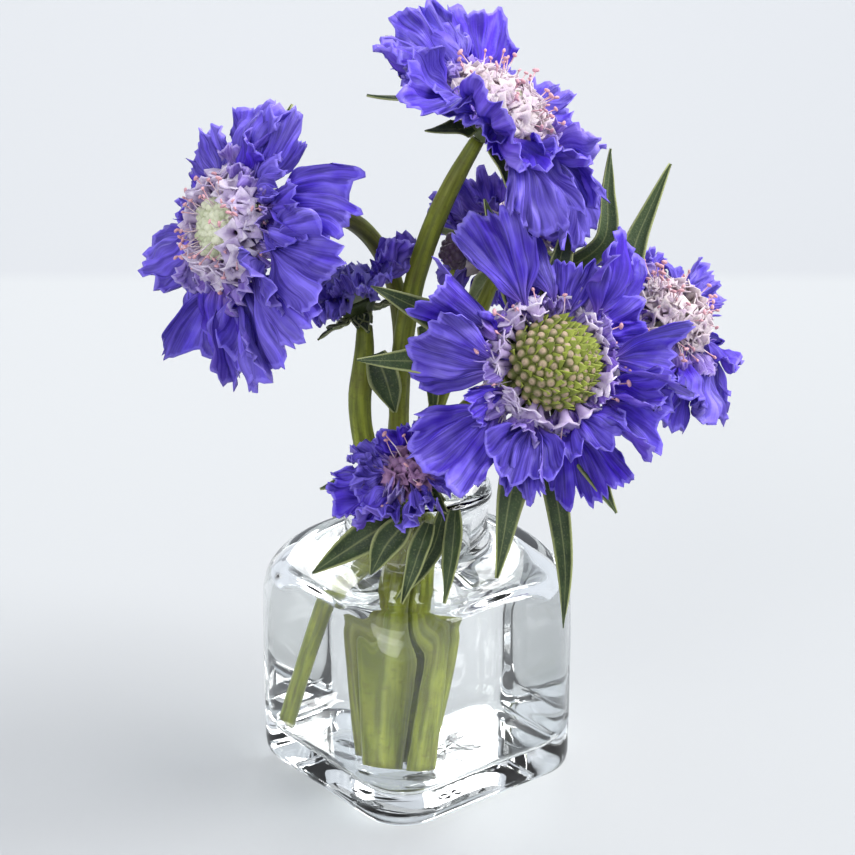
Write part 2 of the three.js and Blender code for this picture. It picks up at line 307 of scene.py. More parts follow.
@dataclass
class HeadSite:
    """Where one flower head sits, measured on its button and receptacle."""

    name: str
    centre: Vector = field(default_factory=Vector)
    x: Vector = field(default_factory=Vector)
    y: Vector = field(default_factory=Vector)
    z: Vector = field(default_factory=Vector)
    radius: float = 0.0
    dome: float = 0.0
    foot: float = 0.0

    def __post_init__(self) -> None:
        """Measure the head."""
        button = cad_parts[f"button_{self.name}"].data
        areas: dict[tuple, float] = {}
        for face in button.polygons:
            key = tuple(round(c, 2) for c in face.normal)
            areas[key] = areas.get(key, 0) + face.area
        self.z = -Vector(max(areas, key=areas.get)).normalized()
        points = node_points(f"button_{self.name}")
        low = min(p.dot(self.z) for p in points)
        base = [p for p in points if p.dot(self.z) - low < BASE_SLACK]
        rim = max(base, key=lambda p: (p - mean(base)).length)
        ring = [p for p in base if (p - mean(base)).length > 0.6 * (rim - mean(base)).length]
        self.centre = mean(ring)
        self.radius = (ring[0] - self.centre).length
        self.dome = max(p.dot(self.z) for p in points) - low
        cup = [p for p in node_points(f"receptacle_{self.name}") if self.spread(p) < CUP_REACH]
        self.foot = min((p - self.centre).dot(self.z) for p in cup)
        self.x = Vector((-self.z.y, self.z.x, 0)).normalized()
        self.y = self.z.cross(self.x)

    def spread(self, point: Vector) -> float:
        """How far a point is from the head's axis."""
        arm = point - self.centre
        return (arm - self.z * arm.dot(self.z)).length

    def angle(self, point: Vector) -> float:
        """The direction of a point round the head's axis."""
        arm = point - self.centre
        return math.atan2(arm.dot(self.y), arm.dot(self.x))

    def matrix(self) -> Matrix:
        """From the head's own frame, origin at the button's foot, to the row's."""
        turn = Matrix((self.x, self.y, self.z)).transposed().to_4x4()
        return Matrix.Translation(self.centre) @ turn

    def tips(self, node: str, beyond: float) -> list[tuple[float, float, float]]:
        """Directions, lengths and heights of what sticks out of a solid.

        Args:
            node: the solid's name.
            beyond: how far from the axis a point must be.

        Returns:
            One (angle, length, height) for each prong.
        """
        far = sorted((self.angle(p), self.spread(p), (p - self.centre).dot(self.z))
                     for p in node_points(node) if self.spread(p) > beyond)
        groups: list[list[tuple[float, float, float]]] = []
        for entry in far:
            if groups and entry[0] - groups[-1][-1][0] < PRONG_GAP:
                groups[-1].append(entry)
            else:
                groups.append([entry])
        return [max(group, key=lambda e: e[1]) for group in groups]


# ---------------------------------------------------------------- finishes


class Graph:
    """A small helper round one node tree."""

    def __init__(self, tree: bpy.types.NodeTree) -> None:
        """Start from an empty tree."""
        self.tree = tree
        tree.nodes.clear()

    def add(self, kind: str, inputs: dict | None = None, **settings: object) -> bpy.types.Node:
        """Add a node, set its properties and fill or link its inputs.

        Args:
            kind: the node's type.
            inputs: sockets to link or numbers to set, by input.
            settings: the node's properties by name.

        Returns:
            The node.
        """
        node = self.tree.nodes.new(kind)
        for key, value in settings.items():
            setattr(node, key, value)
        for key, value in (inputs or {}).items():
            if isinstance(value, bpy.types.NodeSocket):
                self.tree.links.new(value, node.inputs[key])
            else:
                node.inputs[key].default_value = value
        return node

    def mix(self, share: object, a: object, b: object) -> bpy.types.NodeSocket:
        """Mix two colours.

        Args:
            share: how much of the second colour shows, a number or a socket.
            a: the first colour.
            b: the second colour.

        Returns:
            The mixed colour.
        """
        node = self.add("ShaderNodeMix", data_type="RGBA", blend_type="MIX")
        for index, value in ((0, share), (6, a), (7, b)):
            if isinstance(value, bpy.types.NodeSocket):
                self.tree.links.new(value, node.inputs[index])
            else:
                node.inputs[index].default_value = value
        return node.outputs[2]

    def math(self, operation: str, *values: object) -> bpy.types.NodeSocket:
        """Do one sum on numbers."""
        node = self.add("ShaderNodeMath", dict(enumerate(values)), operation=operation)
        return node.outputs[0]

    def ramp(self, factor: bpy.types.NodeSocket, stops: list[tuple[float, tuple]]) -> bpy.types.NodeSocket:
        """A colour ramp through some stops.

        Args:
            factor: what the colour follows.
            stops: places from 0 to 1 and their colours.

        Returns:
            The colour.
        """
        node = self.add("ShaderNodeValToRGB", {"Fac": factor})
        band = node.color_ramp
        while len(band.elements) < len(stops):
            band.elements.new(0.5)
        for element, (place, colour) in zip(band.elements, stops):
            element.position = place
            element.color = colour
        return node.outputs["Color"]


def rgb(red: float, green: float, blue: float) -> tuple[float, float, float, float]:
    """An opaque colour."""
    return red, green, blue, 1.0


def group_tree(name: str, inputs: dict[str, float], outputs: list[str]) -> Graph:
    """Begin a shader node group.

    Args:
        name: the group's name.
        inputs: number inputs and their defaults.
        outputs: number outputs.

    Returns:
        A graph of the empty group.
    """
    tree = bpy.data.node_groups.new(name, "ShaderNodeTree")
    for key, value in inputs.items():
        socket = tree.interface.new_socket(name=key, in_out="INPUT", socket_type="NodeSocketFloat")
        socket.default_value = value
    for key in outputs:
        tree.interface.new_socket(name=key, in_out="OUTPUT", socket_type="NodeSocketFloat")
    return Graph(tree)


def vein_group() -> bpy.types.NodeTree:
    """Fine veins that fan out along a sheet's UV map, and the soft folds between them, which the petals take
    as painted fold shade.

    Returns:
        The group.
    """
    graph = group_tree("fanned_veins", {"Count": 26.0, "Waver": 1.0}, ["Veins", "Folds"])
    given = graph.add("NodeGroupInput")
    uv = graph.add("ShaderNodeUVMap", uv_map="UVMap")
    split = graph.add("ShaderNodeSeparateXYZ", {"Vector": uv.outputs["UV"]})
    across = graph.math("MULTIPLY", split.outputs["X"], given.outputs["Count"])
    along = graph.math("MULTIPLY", split.outputs["Y"], given.outputs["Waver"])
    lane = graph.add("ShaderNodeCombineXYZ", {"X": across, "Y": along})
    streaks = graph.add("ShaderNodeTexNoise", {"Vector": lane.outputs[0], "Scale": 1.0, "Detail": 3.0})
    wide = graph.add("ShaderNodeTexNoise", {"Vector": lane.outputs[0], "Scale": 0.22, "Detail": 1.0})
    out = graph.add("NodeGroupOutput")
    graph.tree.links.new(streaks.outputs["Fac"], out.inputs["Veins"])
    graph.tree.links.new(wide.outputs["Fac"], out.inputs["Folds"])
    return graph.tree


def mottle_group() -> bpy.types.NodeTree:
    """Soft blotches and fine specks over a piece, with each copy's own shade.

    Returns:
        The group.
    """
    graph = group_tree("mottle", {"Size": 250.0, "Own Shade": 0.5}, ["Blotches", "Specks"])
    given = graph.add("NodeGroupInput")
    place = graph.add("ShaderNodeTexCoord")
    tone = graph.add("ShaderNodeAttribute", attribute_name="tone")
    big = graph.add("ShaderNodeTexNoise", {"Vector": place.outputs["Object"], "Scale": given.outputs["Size"],
                                           "Detail": 2.0})
    fine_size = graph.math("MULTIPLY", given.outputs["Size"], 9.0)
    fine = graph.add("ShaderNodeTexNoise", {"Vector": place.outputs["Object"], "Scale": fine_size,
                                            "Detail": 2.0})
    shade = graph.math("MULTIPLY", tone.outputs["Fac"], given.outputs["Own Shade"])
    total = graph.math("ADD", big.outputs["Fac"], shade)
    out = graph.add("NodeGroupOutput")
    graph.tree.links.new(total, out.inputs["Blotches"])
    graph.tree.links.new(fine.outputs["Fac"], out.inputs["Specks"])
    return graph.tree


VEINS = vein_group()
MOTTLE = mottle_group()


def start_material(name: str) -> tuple[bpy.types.Material, Graph]:
    """A new material and its empty graph.

    Args:
        name: the material's name.

    Returns:
        The material and its graph.
    """
    material = bpy.data.materials.new(name)
    material.use_nodes = True
    return material, Graph(material.node_tree)


def finish_surface(graph: Graph, shader: bpy.types.Node, glow: bpy.types.Node | None = None,
                   share: float = 0.3) -> None:
    """Send a shader to the surface, with a share of light let through from behind.

    Args:
        graph: the material's graph.
        shader: the surface seen from the front.
        glow: light let through from behind, if any.
        share: how much of the glow shows.
    """
    out = graph.add("ShaderNodeOutputMaterial")
    if glow is None:
        graph.tree.links.new(shader.outputs[0], out.inputs["Surface"])
        return
    mixed = graph.add("ShaderNodeMixShader", {0: share, 1: shader.outputs[0], 2: glow.outputs[0]})
    graph.tree.links.new(mixed.outputs[0], out.inputs["Surface"])


@dataclass(frozen=True)
class PetalFinish:
    """Outer florets: pale at the claw, deep blue violet beyond, with fine fanned veins, painted shade in soft
    folds and painted highlights in patches and along the rim.
    """

    name: str
    claw: tuple
    body: tuple
    # deep: the darker colour of the veins, and the painted shade in the folds.
    deep: tuple
    # light: the painted highlight colour, in patches and along the rim, and the sheen's tint.
    light: tuple
    glow: float = 0.3
    claw_share: float = 0.42

    def make(self) -> bpy.types.Material:
        """Build the material.

        Returns:
            The material.
        """
        material, graph = start_material(self.name)
        uv = graph.add("ShaderNodeUVMap", uv_map="UVMap")
        along = graph.add("ShaderNodeSeparateXYZ", {"Vector": uv.outputs["UV"]}).outputs["Y"]
        veins = place_group(graph, VEINS, {"Count": 34.0, "Waver": 1.8})
        mottle = place_group(graph, MOTTLE, {"Size": 170.0, "Own Shade": 0.45})
        base = graph.ramp(along, [(0.0, self.claw), (self.claw_share * 0.5, self.claw),
                                  (self.claw_share, self.body), (1.0, self.body)])
        # Painted highlights: soft blotches lightened towards the highlight colour.
        patch = graph.ramp(mottle.outputs["Blotches"], [(0.50, rgb(0, 0, 0)), (0.95, rgb(1, 1, 1))])
        lit = graph.mix(graph.math("MULTIPLY", patch, 0.75), base, self.light)
        dark = graph.ramp(veins.outputs["Veins"], [(0.36, rgb(1, 1, 1)), (0.60, rgb(0, 0, 0))])
        # Painted fold shade: a wide soft pattern across the fan, darkened towards the deep colour.
        fold = graph.ramp(veins.outputs["Folds"], [(0.38, rgb(1, 1, 1)), (0.6, rgb(0, 0, 0))])
        streaked = graph.mix(graph.math("MULTIPLY", dark, 0.72), lit, self.deep)
        fold_shaded = graph.mix(graph.math("MULTIPLY", fold, 0.5), streaked, self.deep)
        # A painted highlight along the outer rim.
        rim = graph.ramp(graph.math("ADD", along, graph.math("MULTIPLY", mottle.outputs["Specks"], 0.06)),
                         [(0.975, rgb(0, 0, 0)), (1.03, rgb(1, 1, 1))])
        rim_highlit = graph.mix(graph.math("MULTIPLY", rim, 0.5), fold_shaded, self.light)
        height = graph.math("ADD", veins.outputs["Veins"],
                            graph.math("MULTIPLY", mottle.outputs["Specks"], 0.3))
        bump = graph.add("ShaderNodeBump", {"Strength": 0.55, "Distance": 0.0004, "Height": height})
        shader = graph.add("ShaderNodeBsdfPrincipled", {
            "Base Color": rim_highlit, "Roughness": 0.48, "Specular IOR Level": 0.35, "Normal": bump.outputs[0],
            "Sheen Weight": 0.12, "Sheen Roughness": 0.4, "Sheen Tint": self.light})
        glow = graph.add("ShaderNodeBsdfTranslucent", {"Color": rim_highlit, "Normal": bump.outputs[0]})
        finish_surface(graph, shader, glow, self.glow)
        return material


def place_group(graph: Graph, tree: bpy.types.NodeTree, inputs: dict) -> bpy.types.Node:
    """Place a shared node group in a material.

    Args:
        graph: the material's graph.
        tree: the group.
        inputs: its values.

    Returns:
        The group node.
    """
    node = graph.add("ShaderNodeGroup", node_tree=tree)
    for key, value in inputs.items():
        node.inputs[key].default_value = value
    return node


@dataclass(frozen=True)
class LeafFinish:
    """Leaves and bracts: fine short hairs, a paler midrib and a pale margin."""

    name: str
    face: tuple
    shade: tuple
    margin: tuple
    margin_width: float = 0.09

    def make(self) -> bpy.types.Material:
        """Build the material.

        Returns:
            The material.
        """
        material, graph = start_material(self.name)
        uv = graph.add("ShaderNodeUVMap", uv_map="UVMap")
        split = graph.add("ShaderNodeSeparateXYZ", {"Vector": uv.outputs["UV"]})
        off = graph.math("ABSOLUTE", graph.math("SUBTRACT", split.outputs["X"], 0.5))
        mottle = place_group(graph, MOTTLE, {"Size": 320.0, "Own Shade": 0.3})
        patch = graph.ramp(mottle.outputs["Blotches"], [(0.35, rgb(0, 0, 0)), (0.8, rgb(1, 1, 1))])
        body = graph.mix(patch, self.shade, self.face)
        rib = graph.ramp(off, [(0.0, rgb(1, 1, 1)), (0.05, rgb(0, 0, 0))])
        ribbed = graph.mix(graph.math("MULTIPLY", rib, 0.45), body, self.margin)
        wander = graph.math("MULTIPLY", mottle.outputs["Specks"], 0.05)
        edge = graph.ramp(graph.math("ADD", off, wander),
                          [(0.5 - self.margin_width, rgb(0, 0, 0)), (0.52, rgb(1, 1, 1))])
        rimmed = graph.mix(edge, ribbed, self.margin)
        hairs = graph.ramp(mottle.outputs["Specks"], [(0.55, rgb(0, 0, 0)), (0.72, rgb(1, 1, 1))])
        haired = graph.mix(graph.math("MULTIPLY", hairs, 0.22), rimmed, self.margin)
        bump = graph.add("ShaderNodeBump", {"Strength": 0.5, "Distance": 0.0003,
                                            "Height": mottle.outputs["Specks"]})
        shader = graph.add("ShaderNodeBsdfPrincipled", {
            "Base Color": haired, "Roughness": 0.55, "Specular IOR Level": 0.4, "Normal": bump.outputs[0],
            "Sheen Weight": 0.06, "Sheen Roughness": 0.5})
        glow = graph.add("ShaderNodeBsdfTranslucent", {"Color": haired, "Normal": bump.outputs[0]})
        finish_surface(graph, shader, glow, 0.18)
        return material


@dataclass(frozen=True)
class FleshFinish:
    """Stems, buds and small florets: a root colour that changes to a tip colour, mottled."""

    name: str
    root: tuple
    tip: tuple
    dark: tuple
    change: tuple[float, float] = (0.35, 0.75)
    glow: float = 0.15
    size: float = 500.0
    rough: float = 0.5

    def make(self) -> bpy.types.Material:
        """Build the material.

        Returns:
            The material.
        """
        material, graph = start_material(self.name)
        uv = graph.add("ShaderNodeUVMap", uv_map="UVMap")
        along = graph.add("ShaderNodeSeparateXYZ", {"Vector": uv.outputs["UV"]}).outputs["Y"]
        mottle = place_group(graph, MOTTLE, {"Size": self.size, "Own Shade": 0.4})
        base = graph.ramp(along, [(self.change[0], self.root), (self.change[1], self.tip)])
        patch = graph.ramp(mottle.outputs["Blotches"], [(0.4, rgb(1, 1, 1)), (0.85, rgb(0, 0, 0))])
        body = graph.mix(graph.math("MULTIPLY", patch, 0.6), base, self.dark)
        bump = graph.add("ShaderNodeBump", {"Strength": 0.4, "Distance": 0.0003,
                                            "Height": mottle.outputs["Specks"]})
        shader = graph.add("ShaderNodeBsdfPrincipled", {
            "Base Color": body, "Roughness": self.rough, "Specular IOR Level": 0.4, "Normal": bump.outputs[0],
            "Sheen Weight": 0.05, "Sheen Roughness": 0.5})
        glow = graph.add("ShaderNodeBsdfTranslucent", {"Color": body, "Normal": bump.outputs[0]})
        finish_surface(graph, shader, glow, self.glow)
        return material


@dataclass(frozen=True)
class StemFinish:
    """Stems: olive green with paler ribs along them and brownish patches."""

    name: str
    green: tuple
    olive: tuple
    brown: tuple

    def make(self) -> bpy.types.Material:
        """Build the material.

        Returns:
            The material.
        """
        material, graph = start_material(self.name)
        uv = graph.add("ShaderNodeUVMap", uv_map="UVMap")
        split = graph.add("ShaderNodeSeparateXYZ", {"Vector": uv.outputs["UV"]})
        lane = graph.add("ShaderNodeCombineXYZ", {"X": graph.math("MULTIPLY", split.outputs["X"], 14.0),
                                                  "Y": graph.math("MULTIPLY", split.outputs["Y"], 9.0)})
        ribs = graph.add("ShaderNodeTexNoise", {"Vector": lane.outputs[0], "Scale": 1.0, "Detail": 3.0})
        mottle = place_group(graph, MOTTLE, {"Size": 140.0, "Own Shade": 0.3})
        base = graph.mix(graph.ramp(ribs.outputs["Fac"], [(0.38, rgb(0, 0, 0)), (0.62, rgb(1, 1, 1))]),
                         self.olive, self.green)
        patch = graph.ramp(mottle.outputs["Blotches"], [(0.55, rgb(0, 0, 0)), (0.95, rgb(1, 1, 1))])
        body = graph.mix(graph.math("MULTIPLY", patch, 0.6), base, self.brown)
        specks = graph.ramp(mottle.outputs["Specks"], [(0.3, rgb(1, 1, 1)), (0.45, rgb(0, 0, 0))])
        specked = graph.mix(graph.math("MULTIPLY", specks, 0.35), body, self.brown)
        height = graph.math("ADD", ribs.outputs["Fac"], graph.math("MULTIPLY", mottle.outputs["Specks"], 0.4))
        bump = graph.add("ShaderNodeBump", {"Strength": 0.5, "Distance": 0.0003, "Height": height})
        shader = graph.add("ShaderNodeBsdfPrincipled", {
            "Base Color": specked, "Roughness": 0.5, "Specular IOR Level": 0.4, "Normal": bump.outputs[0],
            "Sheen Weight": 0.06, "Sheen Roughness": 0.5})
        glow = graph.add("ShaderNodeBsdfTranslucent", {"Color": specked, "Normal": bump.outputs[0]})
        finish_surface(graph, shader, glow, 0.12)
        return material


@dataclass(frozen=True)
class ClearFinish:
    """Glass or water: clear and smooth, letting lamps through."""

    name: str
    tint: tuple
    ior: float
    lamp_tint: tuple

    def make(self) -> bpy.types.Material:
        """Build the material.

        Returns:
            The material.
        """
        material, graph = start_material(self.name)
        shader = graph.add("ShaderNodeBsdfPrincipled", {
            "Base Color": self.tint, "Roughness": 0.0, "IOR": self.ior, "Transmission Weight": 1.0})
        clear = graph.add("ShaderNodeBsdfTransparent", {"Color": self.lamp_tint})
        path = graph.add("ShaderNodeLightPath")
        mixed = graph.add("ShaderNodeMixShader", {0: path.outputs["Is Shadow Ray"], 1: shader.outputs[0],
                                                  2: clear.outputs[0]})
        finish_surface(graph, mixed)
        return material


@dataclass(frozen=True)
class FloorFinish:
    """The pale table, a little bluer beyond its far edge."""

    near: tuple
    far: tuple
    edge: float

    def make(self) -> bpy.types.Material:
        """Build the material.

        Returns:
            The material.
        """
        material, graph = start_material("pale_table")
        place = graph.add("ShaderNodeTexCoord")
        split = graph.add("ShaderNodeSeparateXYZ", {"Vector": place.outputs["Object"]})
        beyond = graph.add("ShaderNodeMapRange", {"Value": split.outputs["Y"], "From Min": self.edge,
                                                  "From Max": self.edge + 0.012})
        grain = graph.add("ShaderNodeTexNoise", {"Vector": place.outputs["Object"], "Scale": 8.0,
                                                 "Detail": 3.0})
        near = graph.mix(graph.math("MULTIPLY", grain.outputs["Fac"], 0.05), self.near, self.far)
        colour = graph.mix(beyond.outputs[0], near, self.far)
        shader = graph.add("ShaderNodeBsdfPrincipled", {"Base Color": colour, "Roughness": 0.6,
                                                        "Specular IOR Level": 0.2})
        finish_surface(graph, shader)
        return material


class Palette:
    """Every finish of the bunch, made once."""

    def __init__(self) -> None:
        """Make the materials."""
        # In each petal finish, deep is the vein colour and the painted fold shade, and light is the painted
        # highlight colour.
        violet = dict(body=rgb(0.112, 0.042, 0.80), deep=rgb(0.024, 0.006, 0.21), light=rgb(0.36, 0.28, 1.0))
        self.petal = PetalFinish("petal_face", claw=rgb(0.42, 0.22, 0.74), **violet).make()
        self.petal_back = PetalFinish("petal_back", claw=rgb(0.58, 0.42, 0.82), body=rgb(0.24, 0.13, 0.80),
                                      deep=rgb(0.07, 0.03, 0.40), light=rgb(0.46, 0.37, 0.96)).make()
        self.lilac = PetalFinish("lilac_face", claw=rgb(0.66, 0.54, 0.80), body=rgb(0.34, 0.20, 0.78),
                                 deep=rgb(0.15, 0.06, 0.46), light=rgb(0.66, 0.55, 0.94), glow=0.4,
                                 claw_share=0.8).make()
        self.lilac_back = PetalFinish("lilac_back", claw=rgb(0.72, 0.62, 0.86), body=rgb(0.42, 0.31, 0.80),
                                      deep=rgb(0.22, 0.13, 0.54), light=rgb(0.68, 0.60, 0.92), glow=0.4,
                                      claw_share=0.85).make()
        self.leaf = LeafFinish("leaf_face", face=rgb(0.048, 0.080, 0.026), shade=rgb(0.017, 0.032, 0.012),
                               margin=rgb(0.33, 0.36, 0.14)).make()
        self.leaf_back = LeafFinish("leaf_back", face=rgb(0.30, 0.35, 0.16), shade=rgb(0.15, 0.19, 0.08),
                                    margin=rgb(0.58, 0.57, 0.34), margin_width=0.12).make()
        self.stem = StemFinish("stem_skin", green=rgb(0.26, 0.30, 0.028), olive=rgb(0.12, 0.145, 0.010),
                               brown=rgb(0.095, 0.070, 0.010)).make()
        self.cup = FleshFinish("receptacle_skin", rgb(0.13, 0.17, 0.04), rgb(0.06, 0.085, 0.022),
                               rgb(0.030, 0.038, 0.014)).make()
        self.bud = FleshFinish("seed_bud", rgb(0.125, 0.140, 0.026), rgb(0.46, 0.33, 0.23),
                               rgb(0.05, 0.060, 0.010), change=(0.86, 1.0), size=900.0).make()
        self.scale = FleshFinish("seed_scale", rgb(0.11, 0.155, 0.016), rgb(0.40, 0.46, 0.07),
                                 rgb(0.08, 0.115, 0.012), change=(0.25, 0.9), glow=0.25).make()
        self.floret = FleshFinish("inner_floret", rgb(0.56, 0.42, 0.70), rgb(0.88, 0.80, 0.92),
                                  rgb(0.34, 0.20, 0.56), change=(0.3, 0.9), glow=0.35).make()
        self.pale_floret = FleshFinish("pale_floret", rgb(0.60, 0.44, 0.56), rgb(0.80, 0.71, 0.72),
                                       rgb(0.56, 0.38, 0.60), change=(0.2, 0.8), glow=0.35).make()
        self.blue_floret = FleshFinish("blue_floret", rgb(0.20, 0.14, 0.50), rgb(0.34, 0.28, 0.80),
                                       rgb(0.07, 0.04, 0.30), change=(0.2, 0.8), glow=0.3).make()
        self.aged_floret = FleshFinish("aged_floret", rgb(0.12, 0.045, 0.11), rgb(0.42, 0.22, 0.42),
                                       rgb(0.06, 0.025, 0.09), change=(0.2, 0.95), glow=0.2).make()
        self.white_bud = FleshFinish("white_bud", rgb(0.38, 0.43, 0.20), rgb(0.78, 0.79, 0.60),
                                     rgb(0.28, 0.34, 0.15), change=(0.3, 0.75), glow=0.2).make()
        self.anther = FleshFinish("anther", rgb(0.84, 0.74, 0.80), rgb(0.72, 0.38, 0.42),
                                  rgb(0.58, 0.32, 0.36), change=(0.6, 0.75), glow=0.2).make()
        self.dry = FleshFinish("dried_bud", rgb(0.09, 0.06, 0.05), rgb(0.06, 0.03, 0.07),
                               rgb(0.025, 0.014, 0.02), glow=0.05).make()
        self.glass = ClearFinish("bottle_glass", rgb(0.97, 0.98, 0.98), 1.46, rgb(0.94, 0.955, 0.96)).make()
        self.water = ClearFinish("bottle_water", rgb(0.992, 0.997, 0.992), 1.33,
                                 rgb(0.98, 0.985, 0.985)).make()
        self.floor = FloorFinish(rgb(0.325, 0.33, 0.335), rgb(0.300, 0.305, 0.315), 0.303).make()


# ---------------------------------------------------------------- petals, leaves and small parts


@dataclass(frozen=True)
class PetalShape:
    """One outer floret: a short claw that opens into a lobed, frilled and curled fan."""

    length: float
    spread: float
    curl: float
    roll: float
    fold: float
    frill: float
    twist: float
    seed: float
    claw: float = 1.5 * MM
    ragged: float = 1.0

    def margin(self, u: float) -> float:
        """How much longer or shorter the fan is at u across: three lobes, torn here and there.

        Args:
            u: place across the fan, -1 to 1.

        Returns:
            The change, as a share of the fan's length.
        """
        lobe = 0.10 * abs(math.cos(1.5 * math.pi * u + 0.3 * math.sin(self.seed))) - 0.20 * abs(u) ** 2.5
        wild = noise.noise(Vector((u * 2.2 + self.seed, 3.1, self.seed)))
        tear = -0.30 * max(0.0, noise.noise(Vector((u * 4.6 + self.seed * 3, 7.7, 1.0))) - 0.12)
        teeth = 0.07 * noise.noise(Vector((u * 13 + self.seed, 9.7, 0))) + 0.035 * noise.noise(
            Vector((u * 38 + self.seed, 5.2, 2.0)))
        return lobe + self.ragged * (0.14 * wild + tear + teeth)

    def at(self, u: float, t: float) -> Vector:
        """The point at u across and t along.

        Args:
            u: place across the fan, -1 to 1.
            t: place from the claw to the rim, 0 to 1.

        Returns:
            The point, with Y outwards and Z towards the flower's face.
        """
        opening = min(1.0, t / 0.55)
        smooth = opening * opening * (3 - 2 * opening)
        reach = self.length * t * (1 + self.margin(u) * t ** 2.2)
        angle = u * self.spread * (0.42 + 0.58 * smooth)
        side = math.sin(angle) * reach + u * self.claw * (1 - 0.5 * t)
        out = math.cos(angle) * reach
        half = math.sin(self.spread) * reach + self.claw
        rolled = self.roll * smooth * side / half
        if abs(self.roll) > 0.05:
            side, lift = math.sin(rolled) / self.roll * half, (1 - math.cos(rolled)) / self.roll * half
        else:
            lift = 0.0
        bend = self.curl * out / self.length
        waves = math.sin(u * 6.5 + self.seed * 2.3) * 0.55 + math.sin(u * 11 + self.seed) * 0.45
        rise = lift + self.fold * waves * smooth * (0.4 + 0.6 * t)
        rise += self.frill * 2.2 * noise.noise(Vector((u * 3.4 + self.seed, t * 2.6, 1.7))) * smooth
        rise += self.frill * 1.3 * noise.noise(Vector((u * 10 + self.seed, t * 4, 4.2))) * t ** 2.5 * 1.6
        rise += self.frill * 0.45 * noise.noise(Vector((u * 27 + self.seed, t * 9, 8.8))) * t ** 4
        rise += abs(u) * self.claw * 1.2 * (1 - opening) ** 2
        arc = self.length / self.curl if abs(self.curl) > 0.05 else 0.0
        y = math.sin(bend) * arc if arc else out
        z = (1 - math.cos(bend)) * arc if arc else 0.0
        y, z = y - math.sin(bend) * rise, z + math.cos(bend) * rise
        turn = self.twist * t
        across = side * math.cos(turn) - z * math.sin(turn)
        upward = z * math.cos(turn) + side * math.sin(turn)
        return Vector((across, y, upward))


class SheetMaker:
    """Makes petals and leaves: grids shaped over their form, then given a thickness."""

    def __init__(self, palette: Palette) -> None:
        """Keep the palette."""
        self.palette = palette

    def petal(self, name: str, shape: PetalShape, place: Matrix, tone: float, detail: int,
              lilac: bool) -> bpy.types.Object:
        """One outer floret.

        Args:
            name: the piece's name.
            shape: its form.
            place: from the floret's own frame to the row's.
            tone: its own shade, 0 to 1.
            detail: faces across the fan.
            lilac: whether it takes the paler finish.

        Returns:
            The floret, with its face and back finishes.
        """
        piece = new_grid(name, detail, int(detail * 0.8))
        for vertex in piece.data.vertices:
            vertex.co = place @ shape.at(vertex.co.x * 2, vertex.co.y + 0.5)
        front, back = (self.palette.lilac, self.palette.lilac_back) if lilac else (
            self.palette.petal, self.palette.petal_back)
        return self.thicken(piece, front, back, PETAL_THICKNESS, tone)

    def leaf(self, name: str, spine: Spine, face: Vector, width: float, fold: float, wave: float,
             tone: float) -> bpy.types.Object:
        """One narrow leaf or bract along a spine.

        Args:
            name: the piece's name.
            spine: its midrib.
            face: the way its upper side looks.
            width: its greatest width.
            fold: how far its halves fold up, radians.
            wave: how far its margin waves.
            tone: its own shade.

        Returns:
            The leaf, with its face and back finishes.
        """
        piece = new_grid(name, 8, 30)
        for vertex in piece.data.vertices:
            u, t = vertex.co.x * 2, vertex.co.y + 0.5
            way = spine.way(t)
            side = way.cross(face).normalized()
            up = side.cross(way)
            half = width / 2 * max(0.02, math.sin(math.pi * (0.16 + 0.83 * t)) ** 0.85) * (1 - 0.35 * t * t)
            ripple = wave * math.sin(t * 11 + tone * 20) * abs(u)
            ripple += wave * noise.noise(Vector((t * 6, u, tone * 9)))
            bend = fold * abs(u)
            rise = abs(u) * half * math.sin(bend) + ripple
            vertex.co = spine.at(t) + side * (u * half * math.cos(bend)) + up * rise
        return self.thicken(piece, self.palette.leaf, self.palette.leaf_back, LEAF_THICKNESS, tone)

    @staticmethod
    def thicken(piece: bpy.types.Object, front: bpy.types.Material, back: bpy.types.Material,
                thickness: float, tone: float) -> bpy.types.Object:
        """Give a shaped grid its thickness, two finishes and a shade.

        Args:
            piece: the shaped grid.
            front: the finish of its face.
            back: the finish of its back.
            thickness: how thick it becomes.
            tone: its own shade.

        Returns:
            The same piece, finished.
        """
        piece.data.materials.append(front)
        piece.data.materials.append(back)
        apply_modifier(piece, "SOLIDIFY", thickness=thickness, offset=-1.0, material_offset=1,
                       use_even_offset=False)
        set_tone(piece, tone)
        settle(piece)
        return piece


